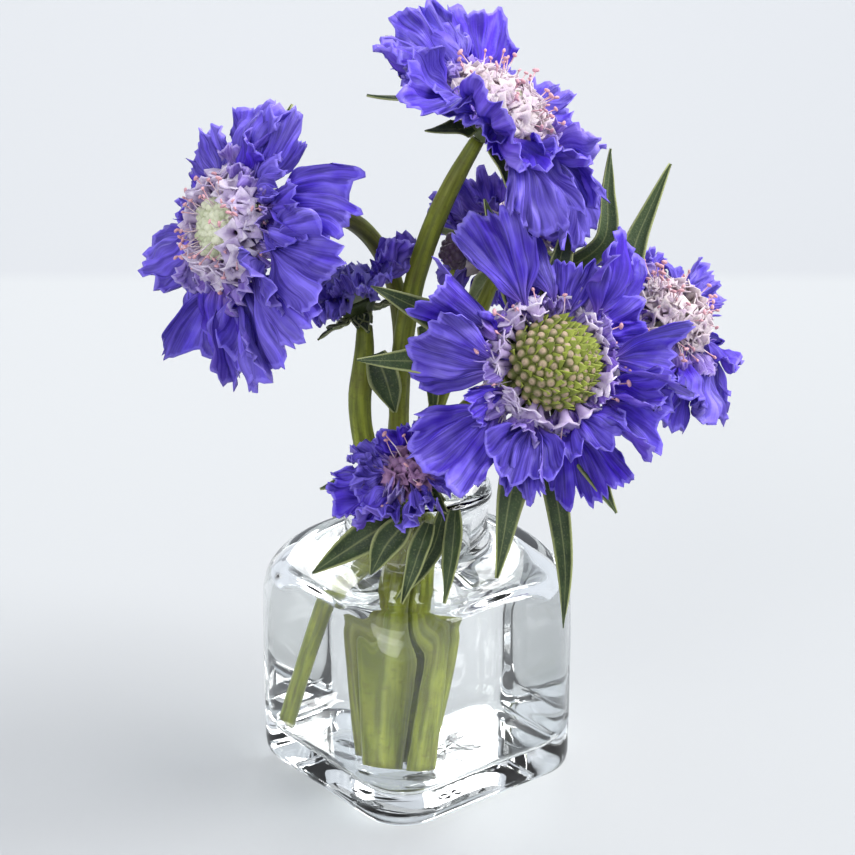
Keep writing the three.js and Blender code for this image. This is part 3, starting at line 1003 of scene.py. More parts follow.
class SmallParts:
    """Models of what repeats on a button: buds, scales, small florets and stamens."""

    def __init__(self) -> None:
        """Model each one, out of the way; they are removed at the end."""
        self.bud = self.round_bud()
        self.scale = self.pointed_scale()
        self.floret = self.small_floret()
        self.stamen = self.thin_stamen()

    def remove(self) -> None:
        """Remove the models once they have been copied."""
        for model in (self.bud, self.scale, self.floret, self.stamen):
            bpy.data.objects.remove(model)

    @staticmethod
    def lengthwise_uv(model: bpy.types.Object) -> None:
        """Map a model's height to V and its turn to U.

        Args:
            model: the model, standing along Z.
        """
        heights = [v.co.z for v in model.data.vertices]
        low, high = min(heights), max(heights)
        layer = model.data.uv_layers[0] if model.data.uv_layers else model.data.uv_layers.new(name="UVMap")
        for loop in model.data.loops:
            co = model.data.vertices[loop.vertex_index].co
            layer.data[loop.index].uv = (math.atan2(co.y, co.x) / math.tau + 0.5, (co.z - low) / (high - low))

    def round_bud(self) -> bpy.types.Object:
        """A closed floret bud, one unit long, puckered at its tip.

        Returns:
            The model.
        """
        clear_selection()
        bpy.ops.mesh.primitive_uv_sphere_add(segments=10, ring_count=9, radius=0.5, location=(0, 0, 0.5))
        model = bpy.context.object
        settle(model)
        for vertex in model.data.vertices:
            co = vertex.co
            slim = 0.66 + 0.14 * math.sin(math.pi * min(co.z * 1.1, 1))
            co.x, co.y = co.x * slim, co.y * slim
            if co.z > 0.99:
                co.z -= 0.07
        self.lengthwise_uv(model)
        return model

    def pointed_scale(self) -> bpy.types.Object:
        """A chaffy scale, one unit long: a boat-shaped blade drawn out to a point.

        Returns:
            The model.
        """
        model = new_grid("scale_model", 4, 8)
        for vertex in model.data.vertices:
            u, t = vertex.co.x * 2, vertex.co.y + 0.5
            half = 0.34 * math.sin(math.pi * min(0.18 + 0.62 * t, 1.0)) * (1 - t ** 3.2)
            hollow = 0.34 * (u * half) ** 2 / 0.09 * 0.3
            vertex.co = Vector((0.30 * t * t - hollow, u * half, t))
        apply_modifier(model, "SOLIDIFY", thickness=0.05, offset=0.0)
        self.lengthwise_uv(model)
        return model

    def small_floret(self) -> bpy.types.Object:
        """An open inner floret, one unit long: a tube that flares in four rounded lobes.

        Returns:
            The model.
        """
        clear_selection()
        bpy.ops.mesh.primitive_circle_add(vertices=12, radius=0.10, fill_type="NOTHING")
        model = bpy.context.object
        bpy.ops.object.mode_set(mode="EDIT")
        bpy.ops.mesh.select_all(action="SELECT")
        for rise, grow in ((0.45, 1.25), (0.28, 2.0), (0.12, 1.9)):
            bpy.ops.mesh.extrude_region_move(TRANSFORM_OT_translate={"value": (0, 0, rise)})
            bpy.ops.transform.resize(value=(grow, grow, 1))
        bpy.ops.object.mode_set(mode="OBJECT")
        for vertex in model.data.vertices:
            co = vertex.co
            if co.z > 0.8:
                lobe = 1 + 0.30 * math.cos(4 * math.atan2(co.y, co.x))
                co.x, co.y = co.x * lobe, co.y * lobe
                co.z += 0.10 * math.cos(4 * math.atan2(co.y, co.x) + 0.7)
        model.data.uv_layers.new(name="UVMap")
        apply_modifier(model, "SOLIDIFY", thickness=0.05, offset=0.0)
        self.lengthwise_uv(model)
        return model

    def thin_stamen(self) -> bpy.types.Object:
        """A thread one unit long, leaning over, with its anther across the end.

        Returns:
            The model.
        """
        clear_selection()
        bpy.ops.mesh.primitive_cylinder_add(vertices=4, radius=0.022, depth=1, location=(0, 0, 0.5))
        thread = bpy.context.object
        settle(thread)
        bpy.ops.object.mode_set(mode="EDIT")
        bpy.ops.mesh.select_all(action="SELECT")
        bpy.ops.mesh.bisect(plane_co=(0, 0, 0.5), plane_no=(0, 0, 1))
        bpy.ops.object.mode_set(mode="OBJECT")
        clear_selection()
        bpy.ops.mesh.primitive_uv_sphere_add(segments=6, ring_count=5, radius=0.06, location=(0, 0, 1.02))
        anther = bpy.context.object
        anther.scale = (2.6, 0.9, 0.9)
        anther.rotation_euler = (0.2, 0.5, 0)
        settle(anther)
        model = join_pieces("stamen_model", [thread, anther])
        for vertex in model.data.vertices:
            vertex.co.x += 0.22 * vertex.co.z ** 2
        self.lengthwise_uv(model)
        return model


# ---------------------------------------------------------------- flower heads


class HeadKind(Enum):
    """The stages of flower that stand in the bottle."""

    SEEDING = "seeding"
    BUDDED = "budded"
    OPEN = "open"
    YOUNG = "young"
    AGED = "aged"


@dataclass(frozen=True)
class ButtonPlan:
    """What stands on a button at one stage: how much of it is closed, and what rings it."""

    closed: float
    floret: tuple[float, float]
    stamens: int
    lean: float = 0.5


BUTTONS = {
    HeadKind.BUDDED: ButtonPlan(0.70, (3.4, 5.6), 60),
    HeadKind.OPEN: ButtonPlan(0.22, (3.2, 4.8), 46),
    HeadKind.YOUNG: ButtonPlan(0.0, (2.8, 4.4), 0),
    HeadKind.AGED: ButtonPlan(0.5, (2.4, 4.2), 8, 0.9),
}


@dataclass
class FlowerHead:
    """One head: receptacle, bracts, button and outer florets."""

    name: str
    kind: HeadKind
    rays: int
    inner_rays: int
    seed: int
    spread: float = 0.62
    fold: float = 0.9 * MM
    frill: float = 1.0 * MM
    curl: float = -0.2
    hang: float = 0.0
    crumpled: int = 12

    def build(self, sheets: SheetMaker, parts: SmallParts, palette: Palette) -> None:
        """Build and hand over every piece of the head.

        Args:
            sheets: makes the petals and bracts.
            parts: the models that are copied.
            palette: the finishes.
        """
        self.site = HeadSite(self.name)
        self.rng = random.Random(self.seed)
        self.receptacle(palette)
        self.rays_round(sheets)
        if self.kind is HeadKind.SEEDING:
            self.seed_button(parts, palette)
        else:
            self.open_button(parts, palette)

    def receptacle(self, palette: Palette) -> None:
        """The green cup between stem and florets, with short ribs.

        Args:
            palette: the finishes.
        """
        site, rng = self.site, self.rng
        clear_selection()
        bpy.ops.mesh.primitive_circle_add(vertices=24, radius=STALK_RADIUS, fill_type="NGON")
        cup = bpy.context.object
        bpy.ops.object.mode_set(mode="EDIT")
        bpy.ops.mesh.select_all(action="SELECT")
        height = -site.foot - 0.2 * MM
        rows = ((0.12, 0.28), (0.18, 0.46), (0.25, 0.70), (0.25, 0.90), (0.20, 0.98))
        radius = STALK_RADIUS
        for share, wide in rows:
            bpy.ops.mesh.extrude_region_move(TRANSFORM_OT_translate={"value": (0, 0, share * height)})
            grown = max(wide * site.radius, radius)
            bpy.ops.transform.resize(value=(grown / radius, grown / radius, 1))
            radius = grown
        bpy.ops.mesh.select_all(action="SELECT")
        bpy.ops.mesh.normals_make_consistent(inside=False)
        bpy.ops.object.mode_set(mode="OBJECT")
        apply_modifier(cup, "SUBSURF", levels=1, render_levels=1)
        for vertex in cup.data.vertices:
            ripple = 1 + 0.05 * math.sin(9 * math.atan2(vertex.co.y, vertex.co.x)) + rng.uniform(-0.02, 0.02)
            vertex.co.x, vertex.co.y = vertex.co.x * ripple, vertex.co.y * ripple
            vertex.co = site.matrix() @ (vertex.co + Vector((0, 0, site.foot)))
        cup.data.materials.append(palette.cup)
        set_tone(cup, rng.random())
        settle(cup)
        self.cup = cup

    def bracts(self, sheets: SheetMaker) -> list[bpy.types.Object]:
        """The leafy bracts that are one solid with the receptacle.

        Args:
            sheets: makes the sheets.

        Returns:
            One leafy blade for each prong of the solid.
        """
        site, rng = self.site, self.rng
        found = []
        for angle, length, height in site.tips(f"receptacle_{self.name}", site.radius * 1.25):
            out = site.x * math.cos(angle) + site.y * math.sin(angle)
            start = site.centre + out * site.radius * 0.5 + site.z * (site.foot * 0.55)
            middle = site.centre + out * length * 0.6 + site.z * (site.foot * 0.5 + height * 0.3)
            tip = site.centre + out * length + site.z * height
            spine = Spine([start, (start + middle) / 2 - site.z * 0.4 * MM, middle, tip])
            width = 2.4 * MM + length * 0.13
            fold, tone = rng.uniform(0.2, 0.6), rng.random()
            found.append(sheets.leaf("bract", spine, site.z, width, fold, 0.25 * MM, tone))
        return found

    def rays_round(self, sheets: SheetMaker) -> None:
        """The outer florets: the front head's one by one, any other head's as a ring.

        Args:
            sheets: makes the sheets.
        """
        site = self.site
        if self.kind is HeadKind.SEEDING:
            self.separate_rays(sheets)
            self.cup.name = f"flower_{self.name}_receptacle"
            hand_over(self.cup, [f"receptacle_{self.name}"])
            return
        node = f"rays_{self.name}"
        reach = max(site.spread(p) for p in node_points(node))
        far = [(p - site.centre).dot(site.z) for p in node_points(node) if site.spread(p) > 0.9 * reach]
        self.reach, self.lift = reach, sum(far) / len(far)
        parts = [self.one_ray(sheets, i * math.tau / self.rays, 1.0) for i in range(self.rays)]
        turn = math.pi / self.inner_rays
        parts += [self.one_ray(sheets, i * math.tau / self.inner_rays + turn, INNER_RAY_SHARE)
                  for i in range(self.inner_rays)]
        hand_over(join_pieces(f"flower_{self.name}_rays", parts), [node])
        self.crumpled_ring(sheets)
        whole = join_pieces(f"flower_{self.name}_receptacle", [self.cup, *self.bracts(sheets)])
        hand_over(whole, [f"receptacle_{self.name}"])

    def one_ray(self, sheets: SheetMaker, angle: float, scale: float, lilac: bool = False,
                wander: float = 0.09) -> bpy.types.Object:
        """One outer floret at a direction round the head.

        Args:
            sheets: makes the sheet.
            angle: its direction, radians.
            scale: this one's share of the full length.
            lilac: whether it takes the paler finish.
            wander: how far its direction may stray.

        Returns:
            The floret in its place.
        """
        site, rng = self.site, self.rng
        root = site.radius * (0.80 + 0.12 * scale)
        angle += rng.uniform(-wander, wander)
        out = site.x * math.cos(angle) + site.y * math.sin(angle)
        down = -out.z
        length = (self.reach - root) * scale * rng.uniform(0.82, 1.08) * (1 + self.hang * down)
        tilt = math.atan2(self.lift - 1.2 * MM, self.reach - root) + rng.uniform(-0.20, 0.22)
        tilt += 0.55 * (1 - scale)
        rolled = rng.random() < 0.3
        shape = PetalShape(
            length=length * 1.06,
            spread=self.spread * rng.uniform(0.66, 1.12) * (1.1 if scale < 0.9 else 1.0),
            curl=self.curl + rng.uniform(-1.0, 0.8) - 0.35 * max(0.0, down) * (scale > 0.9),
            roll=rng.choice((-1, 1)) * rng.uniform(1.3, 2.1) if rolled else rng.uniform(-0.7, 0.7),
            fold=self.fold * rng.uniform(0.6, 1.3), frill=self.frill * rng.uniform(0.8, 1.3),
            twist=rng.uniform(-0.7, 0.7), seed=rng.uniform(0, 90), ragged=rng.uniform(0.7, 1.4))
        local = Matrix.Rotation(angle - math.pi / 2, 4, "Z") @ Matrix.Translation((0, root, 0.9 * MM)) \
            @ Matrix.Rotation(tilt, 4, "X") @ Matrix.Rotation(rng.uniform(-0.5, 0.5), 4, "Y")
        faces = FULL_RAY_FACES if scale > 0.8 else SHORT_RAY_FACES
        return sheets.petal("ray", shape, site.matrix() @ local, rng.random(), faces, lilac)

    def separate_rays(self, sheets: SheetMaker) -> None:
        """The front head's outer florets, each in place of its own solid.

        Args:
            sheets: makes the sheets.
        """
        site = self.site
        for node in sorted(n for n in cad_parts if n.startswith("ray_front_")):
            points = node_points(node)
            self.reach = max(site.spread(p) for p in points)
            self.lift = max((p - site.centre).dot(site.z) for p in points)
            ray = self.one_ray(sheets, site.angle(mean(points)), 1.0)
            ray.name = f"flower_{node}"
            hand_over(ray, [node])
        parts = [self.one_ray(sheets, (i + 0.5) * math.tau / self.inner_rays, self.rng.uniform(0.5, 0.82))
                 for i in range(self.inner_rays)]
        hand_over(join_pieces(f"flower_{self.name}_inner_rays", parts), [])
        self.crumpled_ring(sheets)

    def crumpled_ring(self, sheets: SheetMaker) -> None:
        """Short crumpled lilac florets between the outer ones and the button.

        Args:
            sheets: makes the sheets.
        """
        rng = self.rng
        if not self.crumpled:
            return
        parts = [self.one_ray(sheets, i * math.tau / self.crumpled + 0.3, rng.uniform(0.26, 0.46), True, 0.2)
                 for i in range(self.crumpled)]
        hand_over(join_pieces(f"flower_{self.name}_crumpled_florets", parts), [])

    def stand(self, share: float, angle: float, size: float, rise: float, lean: Vector,
              spin: float = 0.0) -> Matrix:
        """A matrix that stands a unit model on the button.

        Args:
            share: distance from the axis as a share of the button's radius.
            angle: direction round the axis.
            size: the copy's length.
            rise: how far off the surface its foot is.
            lean: which way it leans off the surface's own direction, and how much.
            spin: its turn about itself.

        Returns:
            The matrix, in the row's frame.
        """
        site = self.site
        flat = Vector((math.cos(angle) * share, math.sin(angle) * share, 0))
        height = math.sqrt(max(0.0, 1 - share * share))
        way = (flat / site.radius + Vector((0, 0, height / site.dome))).normalized()
        point = flat * site.radius + Vector((0, 0, height * site.dome)) + way * rise
        z = (way + lean).normalized()
        x = (lean - z * lean.dot(z)).normalized() if lean.length > 0.01 else z.orthogonal().normalized()
        turn = Matrix((x, z.cross(x), z)).transposed().to_4x4()
        foot = site.matrix() @ Matrix.Translation(point)
        return foot @ turn @ Matrix.Rotation(spin, 4, "Z") @ Matrix.Scale(size, 4)

    def local_way(self, way: Vector) -> Vector:
        """A direction of the row, in the head's own frame."""
        return Vector((way.dot(self.site.x), way.dot(self.site.y), way.dot(self.site.z)))

    def any_lean(self, angle: float, most: float) -> Vector:
        """An outward lean with a random part.

        Args:
            angle: direction round the axis.
            most: the greatest outward lean.

        Returns:
            The lean.
        """
        rng = self.rng
        out = Vector((math.cos(angle), math.sin(angle), 0)) * rng.uniform(0.0, most)
        return out + Vector((rng.uniform(-0.3, 0.3), rng.uniform(-0.3, 0.3), 0))

    def core(self, material: bpy.types.Material, shrink: float) -> bpy.types.Object:
        """The solid heart of the button, under its florets.

        Args:
            material: its finish.
            shrink: its share of the button's size.

        Returns:
            The heart, in its place.
        """
        clear_selection()
        bpy.ops.mesh.primitive_uv_sphere_add(segments=32, ring_count=24, radius=1)
        heart = bpy.context.object
        site = self.site
        for vertex in heart.data.vertices:
            co = vertex.co
            lump = 1 + 0.04 * noise.noise(co * 6)
            place = Vector((co.x * site.radius, co.y * site.radius, max(co.z, -0.12) * site.dome))
            vertex.co = site.matrix() @ (place * shrink * lump)
        heart.data.materials.append(material)
        set_tone(heart, 0.1)
        settle(heart)
        return heart

    def seed_button(self, parts: SmallParts, palette: Palette) -> None:
        """A button gone over to seed: olive buds in spirals, each with a pointed green scale.

        Args:
            parts: the models that are copied.
            palette: the finishes.
        """
        rng = self.rng
        aside = self.local_way(Vector((0.93, 0, 0.30)))
        buds, scales = [], []
        for i in range(SEED_BUDS):
            share = math.sqrt((i + 0.6) / SEED_BUDS) * 0.985
            angle = i * GOLDEN_ANGLE
            size = 3.3 * MM * rng.uniform(0.92, 1.08)
            out = Vector((math.cos(angle), math.sin(angle), 0))
            lean = out * 0.08 + aside * 0.12
            buds.append(self.stand(share, angle, size, -3.0 * MM, lean, rng.uniform(0, 3)))
            lower = (share * out * self.site.radius - aside * 0.75 * MM) / self.site.radius
            place, turn = min(lower.xy.length, 1.0), math.atan2(lower.y, lower.x)
            scales.append(self.stand(place, turn, size * rng.uniform(1.1, 1.35), -2.7 * MM,
                                     aside * 0.75 + out * 0.15, rng.uniform(-0.4, 0.4)))
        heart = self.core(palette.bud, 0.80)
        bud = scatter("buds", parts.bud, buds, rng)
        bud.data.materials.append(palette.bud)
        button = join_pieces(f"flower_{self.name}_button", [heart, bud])
        hand_over(button, [f"button_{self.name}"])
        chaff = scatter(f"flower_{self.name}_scales", parts.scale, scales, rng)
        chaff.data.materials.append(palette.scale)
        hand_over(chaff, [])
        fringe = []
        for _ in range(FRINGE_FLORETS):
            angle = rng.uniform(0, math.tau)
            fringe.append(self.stand(rng.uniform(0.90, 1.1), angle, rng.uniform(3.4, 5.6) * MM, -1.6 * MM,
                                     self.any_lean(angle, 0.8), rng.uniform(0, 3)))
        self.florets(parts, palette.floret, fringe)
        self.stamens(parts, palette, FRINGE_STAMENS, (0.92, 1.15), (4.0, 7.0))

    def open_button(self, parts: SmallParts, palette: Palette) -> None:
        """A button in flower: round buds in the middle, small open florets round them.

        Args:
            parts: the models that are copied.
            palette: the finishes.
        """
        rng, plan = self.rng, BUTTONS[self.kind]
        count = int(FULL_BUTTON_PLACES * (self.site.radius / FULL_BUTTON_RADIUS) ** 2)
        buds, opened = [], []
        for i in range(count):
            share = math.sqrt((i + 0.6) / count) * 1.02
            angle = i * GOLDEN_ANGLE + rng.uniform(-0.06, 0.06)
            if share < plan.closed:
                lean = Vector((rng.uniform(-0.1, 0.1), rng.uniform(-0.1, 0.1), 0))
                buds.append(self.stand(share, angle, 2.6 * MM * rng.uniform(0.8, 1.15), -1.9 * MM, lean))
            elif rng.random() < 0.8:
                size = rng.uniform(*plan.floret) * MM * (0.78 + 0.3 * share)
                opened.append(self.stand(share, angle, size, -1.7 * MM, self.any_lean(angle, plan.lean),
                                         rng.uniform(0, 3)))
        tints = {HeadKind.BUDDED: palette.floret, HeadKind.OPEN: palette.pale_floret,
                 HeadKind.YOUNG: palette.blue_floret, HeadKind.AGED: palette.aged_floret}
        core = palette.aged_floret if self.kind is HeadKind.AGED else palette.white_bud
        pieces = [self.core(core, 0.80)]
        if buds:
            pieces.append(scatter("buds", parts.bud, buds, rng))
            pieces[-1].data.materials.append(core)
        hand_over(join_pieces(f"flower_{self.name}_button", pieces), [f"button_{self.name}"])
        self.florets(parts, tints[self.kind], opened)
        if plan.stamens:
            self.stamens(parts, palette, plan.stamens, (0.3, 1.05), (3.6, 6.4))

    def florets(self, parts: SmallParts, material: bpy.types.Material, places: list[Matrix]) -> None:
        """The small open florets, as one piece.

        Args:
            parts: the models that are copied.
            material: their finish.
            places: one matrix for each floret.
        """
        piece = scatter(f"flower_{self.name}_inner_florets", parts.floret, places, self.rng)
        piece.data.materials.append(material)
        hand_over(piece, [])

    def stamens(self, parts: SmallParts, palette: Palette, count: int, shares: tuple, sizes: tuple) -> None:
        """Threads with pink anthers that stand out of the florets.

        Args:
            parts: the models that are copied.
            palette: the finishes.
            count: how many there are.
            shares: nearest and furthest from the axis, as shares of the button's radius.
            sizes: shortest and longest, in millimetres.
        """
        rng = self.rng
        places = []
        for _ in range(count):
            angle = rng.uniform(0, math.tau)
            places.append(self.stand(rng.uniform(*shares), angle, rng.uniform(*sizes) * MM, -0.8 * MM,
                                     self.any_lean(angle, 0.5), rng.uniform(0, 6)))
        piece = scatter(f"flower_{self.name}_stamens", parts.stamen, places, rng)
        piece.data.materials.append(palette.anther)
        hand_over(piece, [])


# ---------------------------------------------------------------- stems, leaves and the dried bud


@dataclass
class Stem:
    """One stem, smooth along the middles of its solid's rings, with faint ribs and a hollow end."""

    node: str
    sides: int = 8
    ribs: int = 7
    around: int = 20

    def build(self, palette: Palette) -> None:
        """Build the stem and hand it over.

        Args:
            palette: the finishes.
        """
        low = min(node_points(self.node), key=lambda p: p.z)
        rings = read_rings(self.node, self.sides, low)
        centres = [ring.centre for ring in rings]
        for _ in range(2):
            inner = [(a + 2 * b + c) / 4 for a, b, c in zip(centres, centres[1:], centres[2:])]
            centres = [centres[0], *inner, centres[-1]]
        spine = Spine(centres)
        radius = rings[len(rings) // 2].half
        steps = max(12, int(spine.length() / STEM_STEP))
        piece = new_grid(f"flower_{self.node}", self.around, steps)
        side = spine.way(0).orthogonal().normalized()
        sides = []
        for i in range(steps + 1):
            way = spine.way(i / steps)
            side = (side - way * side.dot(way)).normalized()
            sides.append((spine.at(i / steps), side, way.cross(side)))
        for vertex in piece.data.vertices:
            turn, t = (vertex.co.x + 0.5) * math.tau, vertex.co.y + 0.5
            centre, across, up = sides[round(t * steps)]
            swell = 1 + 0.03 * math.cos(self.ribs * turn) + 0.05 * noise.noise(centre * 180)
            swell *= 1 - 0.32 * max(0.0, (t - TAPER_START) / 0.14) ** 1.5
            vertex.co = centre + (across * math.cos(turn) + up * math.sin(turn)) * radius * swell
        self.close(piece, radius)
        piece.data.materials.append(palette.stem)
        set_tone(piece, random.Random(self.node).random())
        settle(piece)
        hand_over(piece, [self.node])

    @staticmethod
    def close(piece: bpy.types.Object, radius: float) -> None:
        """Sew the seam, and sink the pith at both ends.

        Args:
            piece: the stem's open tube.
            radius: the stem's radius.
        """
        mesh = bmesh.new()
        mesh.from_mesh(piece.data)
        bmesh.ops.remove_doubles(mesh, verts=mesh.verts, dist=radius * 0.02)
        rims = [e for e in mesh.edges if e.is_boundary]
        ends = bmesh.ops.holes_fill(mesh, edges=rims, sides=0)["faces"]
        bmesh.ops.recalc_face_normals(mesh, faces=mesh.faces)
        for face in ends:
            inward = face.normal * -radius
            bmesh.ops.inset_region(mesh, faces=[face], thickness=radius * 0.3)
            bmesh.ops.inset_region(mesh, faces=[face], thickness=radius * 0.05)
            for vertex in face.verts:
                vertex.co += inward * 0.8
            bmesh.ops.poke(mesh, faces=[face])
        mesh.to_mesh(piece.data)
        mesh.free()


@dataclass
class LooseLeaf:
    """A leaf or a separate bract along its own solid."""

    node: str
    corners: int
    root: Vector
    fold: float
    widen: float = 1.1

    def build(self, sheets: SheetMaker, seed: float) -> None:
        """Build the leaf and hand it over.

        Args:
            sheets: makes the sheets.
            seed: the leaf's own shade and waves.
        """
        rings = read_rings(self.node, self.corners, self.root)
        spine = Spine([ring.centre for ring in rings])
        width = max(ring.half for ring in rings) * 2 * self.widen
        middle = rings[len(rings) // 2]
        face = middle.side.cross(spine.way(0.5)).normalized()
        if face.y > 0:
            face = -face
        leaf = sheets.leaf(f"flower_{self.node}", spine, face, width, self.fold, 0.22 * MM, seed)
        hand_over(leaf, [self.node])


class DriedBud:
    """A shrivelled bud: a small knot of withered florets."""

    def build(self, parts: SmallParts, palette: Palette) -> None:
        """Build the bud and hand it over.

        Args:
            parts: the models that are copied.
            palette: the finishes.
        """
        low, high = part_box("bud")
        centre, half = (low + high) / 2, (high.z - low.z) / 2
        rng = random.Random(8)
        places = []
        for i in range(DRIED_FLORETS):
            z = 1 - 2 * (i + 0.5) / DRIED_FLORETS
            around = i * GOLDEN_ANGLE
            flat = math.sqrt(1 - z * z)
            way = Vector((flat * math.cos(around), flat * math.sin(around), z))
            turn = way.to_track_quat("Z", "Y").to_matrix().to_4x4()
            size = half * rng.uniform(0.75, 1.15)
            places.append(Matrix.Translation(centre + way * half * 0.15) @ turn @ Matrix.Scale(size, 4))
        piece = scatter("flower_bud", parts.bud, places, rng)
        piece.data.materials.append(palette.dry)
        hand_over(piece, ["bud"])


# ---------------------------------------------------------------- bottle and water


@dataclass
class GlassBottle:
    """The square bottle and its water, on the solid's own height and width."""

    corner: float = 9.4 * MM
    wall: float = 3.0 * MM
    floor: float = 5.5 * MM
    ridge: float = 22.9 * MM
    ridge_height: float = 46.2 * MM
    dome_start: float = 33.0 * MM
    neck: float = 14.3 * MM
    bore: float = 11.0 * MM
    lip: float = 15.2 * MM
    overlap: float = 0.05 * MM
    around: int = 96

    def build(self, palette: Palette) -> None:
        """Build bottle and water and hand them over.

        Args:
            palette: the finishes.
        """
        self.measure()
        outside = self.turned(self.outside_rows(), self.half, self.corner)
        inside = self.turned(self.inside_rows(), self.half - self.wall, self.corner - self.wall)
        bottle = self.shell("bottle_body", outside, inside)
        bottle.data.materials.append(palette.glass)
        settle(bottle)
        hand_over(bottle, ["bottle"])
        water = self.turned(self.water_rows(), self.half - self.wall + self.overlap, self.corner - self.wall)
        water.name = "bottle_water"
        water.data.materials.append(palette.water)
        settle(water)
        hand_over(water, ["water"])

    def measure(self) -> None:
        """Read height, half width, turn and water level from the solids."""
        self.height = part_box("bottle")[1].z
        belt = [p for p in node_points("bottle") if 3 * MM < p.z < self.dome_start + 1 * MM]
        far = max(belt, key=lambda p: p.xy.length)
        self.half = (far.xy.length - self.corner) / math.sqrt(2) + self.corner
        self.turn = math.atan2(far.y, far.x) - math.pi / 4
        self.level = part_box("water")[1].z

    def dome(self, inwards: float) -> list[tuple[float, float, float]]:
        """Rows of the dome that closes the body.

        Args:
            inwards: how far inside the outer face the rows lie.

        Returns:
            Radius, inset and height of each row.
        """
        steps = 9
        rows = []
        for i in range(steps + 1):
            angle = i / steps * math.pi / 2
            radius = self.ridge + 9.6 * MM * math.cos(angle) - inwards
            height = self.dome_start + (self.ridge_height - self.dome_start) * math.sin(angle) - inwards
            rows.append((radius, 0.0, height))
        return rows

    def outside_rows(self) -> list[tuple[float, float, float]]:
        """Radius, inset and height of each row outside, from the base up.

        Returns:
            The rows.
        """
        wide, top = UNCAPPED, self.height
        rows = [(wide, 7 * MM, 0.6 * MM), (wide, 5 * MM, 0.1 * MM), (wide, 3.2 * MM, 0),
                (wide, 1.5 * MM, 0.25 * MM), (wide, 0.5 * MM, 1.1 * MM),
                (wide, 0.1 * MM, 2.4 * MM), (wide, 0, 5 * MM)]
        rows += [(wide, 0, z * MM) for z in (10, 17, 24, 30)]
        rows += self.dome(0)
        rows += [(self.ridge - 1.2 * MM, 0, self.ridge_height + 0.1 * MM), (20.2 * MM, 0, 46.6 * MM),
                 (17.6 * MM, 0, 47.2 * MM), (15.6 * MM, 0, 48.1 * MM),
                 (self.neck + 0.2 * MM, 0, 49.6 * MM), (self.neck, 0, 52 * MM), (self.neck, 0, 55.5 * MM),
                 (self.neck + 0.1 * MM, 0, 57.3 * MM), (self.lip - 0.3 * MM, 0, 58.2 * MM),
                 (self.lip, 0, 59.3 * MM), (self.lip - 0.1 * MM, 0, 60.4 * MM),
                 (self.lip - 0.8 * MM, 0, top - 0.3 * MM), (self.lip - 1.8 * MM, 0, top)]
        return rows

    def inside_rows(self) -> list[tuple[float, float, float]]:
        """Rows of the hollow, from its floor up to the mouth.

        Returns:
            The rows.
        """
        wide, base, top = UNCAPPED, self.floor, self.height
        rows = [(wide, 8 * MM, base), (wide, 5 * MM, base + 0.05 * MM), (wide, 2.6 * MM, base + 0.5 * MM),
                (wide, 1.0 * MM, base + 1.6 * MM), (wide, 0.25 * MM, base + 3.2 * MM),
                (wide, 0, base + 5.5 * MM)]
        rows += [(wide, 0, z * MM) for z in (16, 22, 27)]
        rows += self.dome(self.wall)
        rows += [(17 * MM, 0, 43.5 * MM), (13.6 * MM, 0, 44.3 * MM), (self.bore + 0.9 * MM, 0, 45.6 * MM),
                 (self.bore + 0.1 * MM, 0, 47.6 * MM), (self.bore, 0, 50 * MM), (self.bore, 0, 56 * MM),
                 (self.bore + 0.1 * MM, 0, top - 2.6 * MM), (self.bore + 0.6 * MM, 0, top - 1.0 * MM),
                 (self.bore + 1.4 * MM, 0, top - 0.2 * MM)]
        return rows

    def water_rows(self) -> list[tuple[float, float, float]]:
        """Rows of the water: the hollow's own, a hair into the glass, and a curled edge on top.

        Returns:
            The rows.
        """
        grow = self.overlap
        rows = [(r + grow, inset, z - grow) for r, inset, z in self.inside_rows()
                if z - grow < self.level - 1.2 * MM]
        cap = self.ridge - self.wall + 2.6 * MM
        rows += [(cap + 0.9 * MM, 0, self.level - 0.2 * MM), (cap + 0.3 * MM, 0, self.level + 0.45 * MM),
                 (cap - 0.5 * MM, 0, self.level + 0.12 * MM), (cap - 2.2 * MM, 0, self.level)]
        return rows

    def turned(self, rows: list[tuple[float, float, float]], half: float, corner: float) -> bpy.types.Object:
        """A closed solid turned from rows and pulled in to a rounded square.

        Args:
            rows: turned radius, inset of the square and height, from the bottom up.
            half: half the square's width.
            corner: the radius of its corners.

        Returns:
            The solid, its ends closed by rings of faces.
        """
        clear_selection()
        bpy.ops.mesh.primitive_circle_add(vertices=self.around, radius=10 * MM, fill_type="NGON")
        piece = bpy.context.object
        bpy.ops.object.mode_set(mode="EDIT")
        bpy.ops.mesh.select_all(action="SELECT")
        for _ in rows:
            bpy.ops.mesh.extrude_region_move(TRANSFORM_OT_translate={"value": (0, 0, 1 * MM)})
        bpy.ops.object.mode_set(mode="OBJECT")
        low = min(v.co.z for v in piece.data.vertices)
        for vertex in piece.data.vertices:
            level = round((vertex.co.z - low) / MM)
            cap, inset, height = rows[max(level - 1, 0)]
            angle = math.atan2(vertex.co.y, vertex.co.x)
            reach = soft_min(cap, square_reach(angle, half, corner) - inset, 2 * MM)
            if level == 0:
                reach *= 0.5
            turn = angle + self.turn
            vertex.co = Vector((math.cos(turn) * reach, math.sin(turn) * reach, height))
        return self.finish_ends(piece)

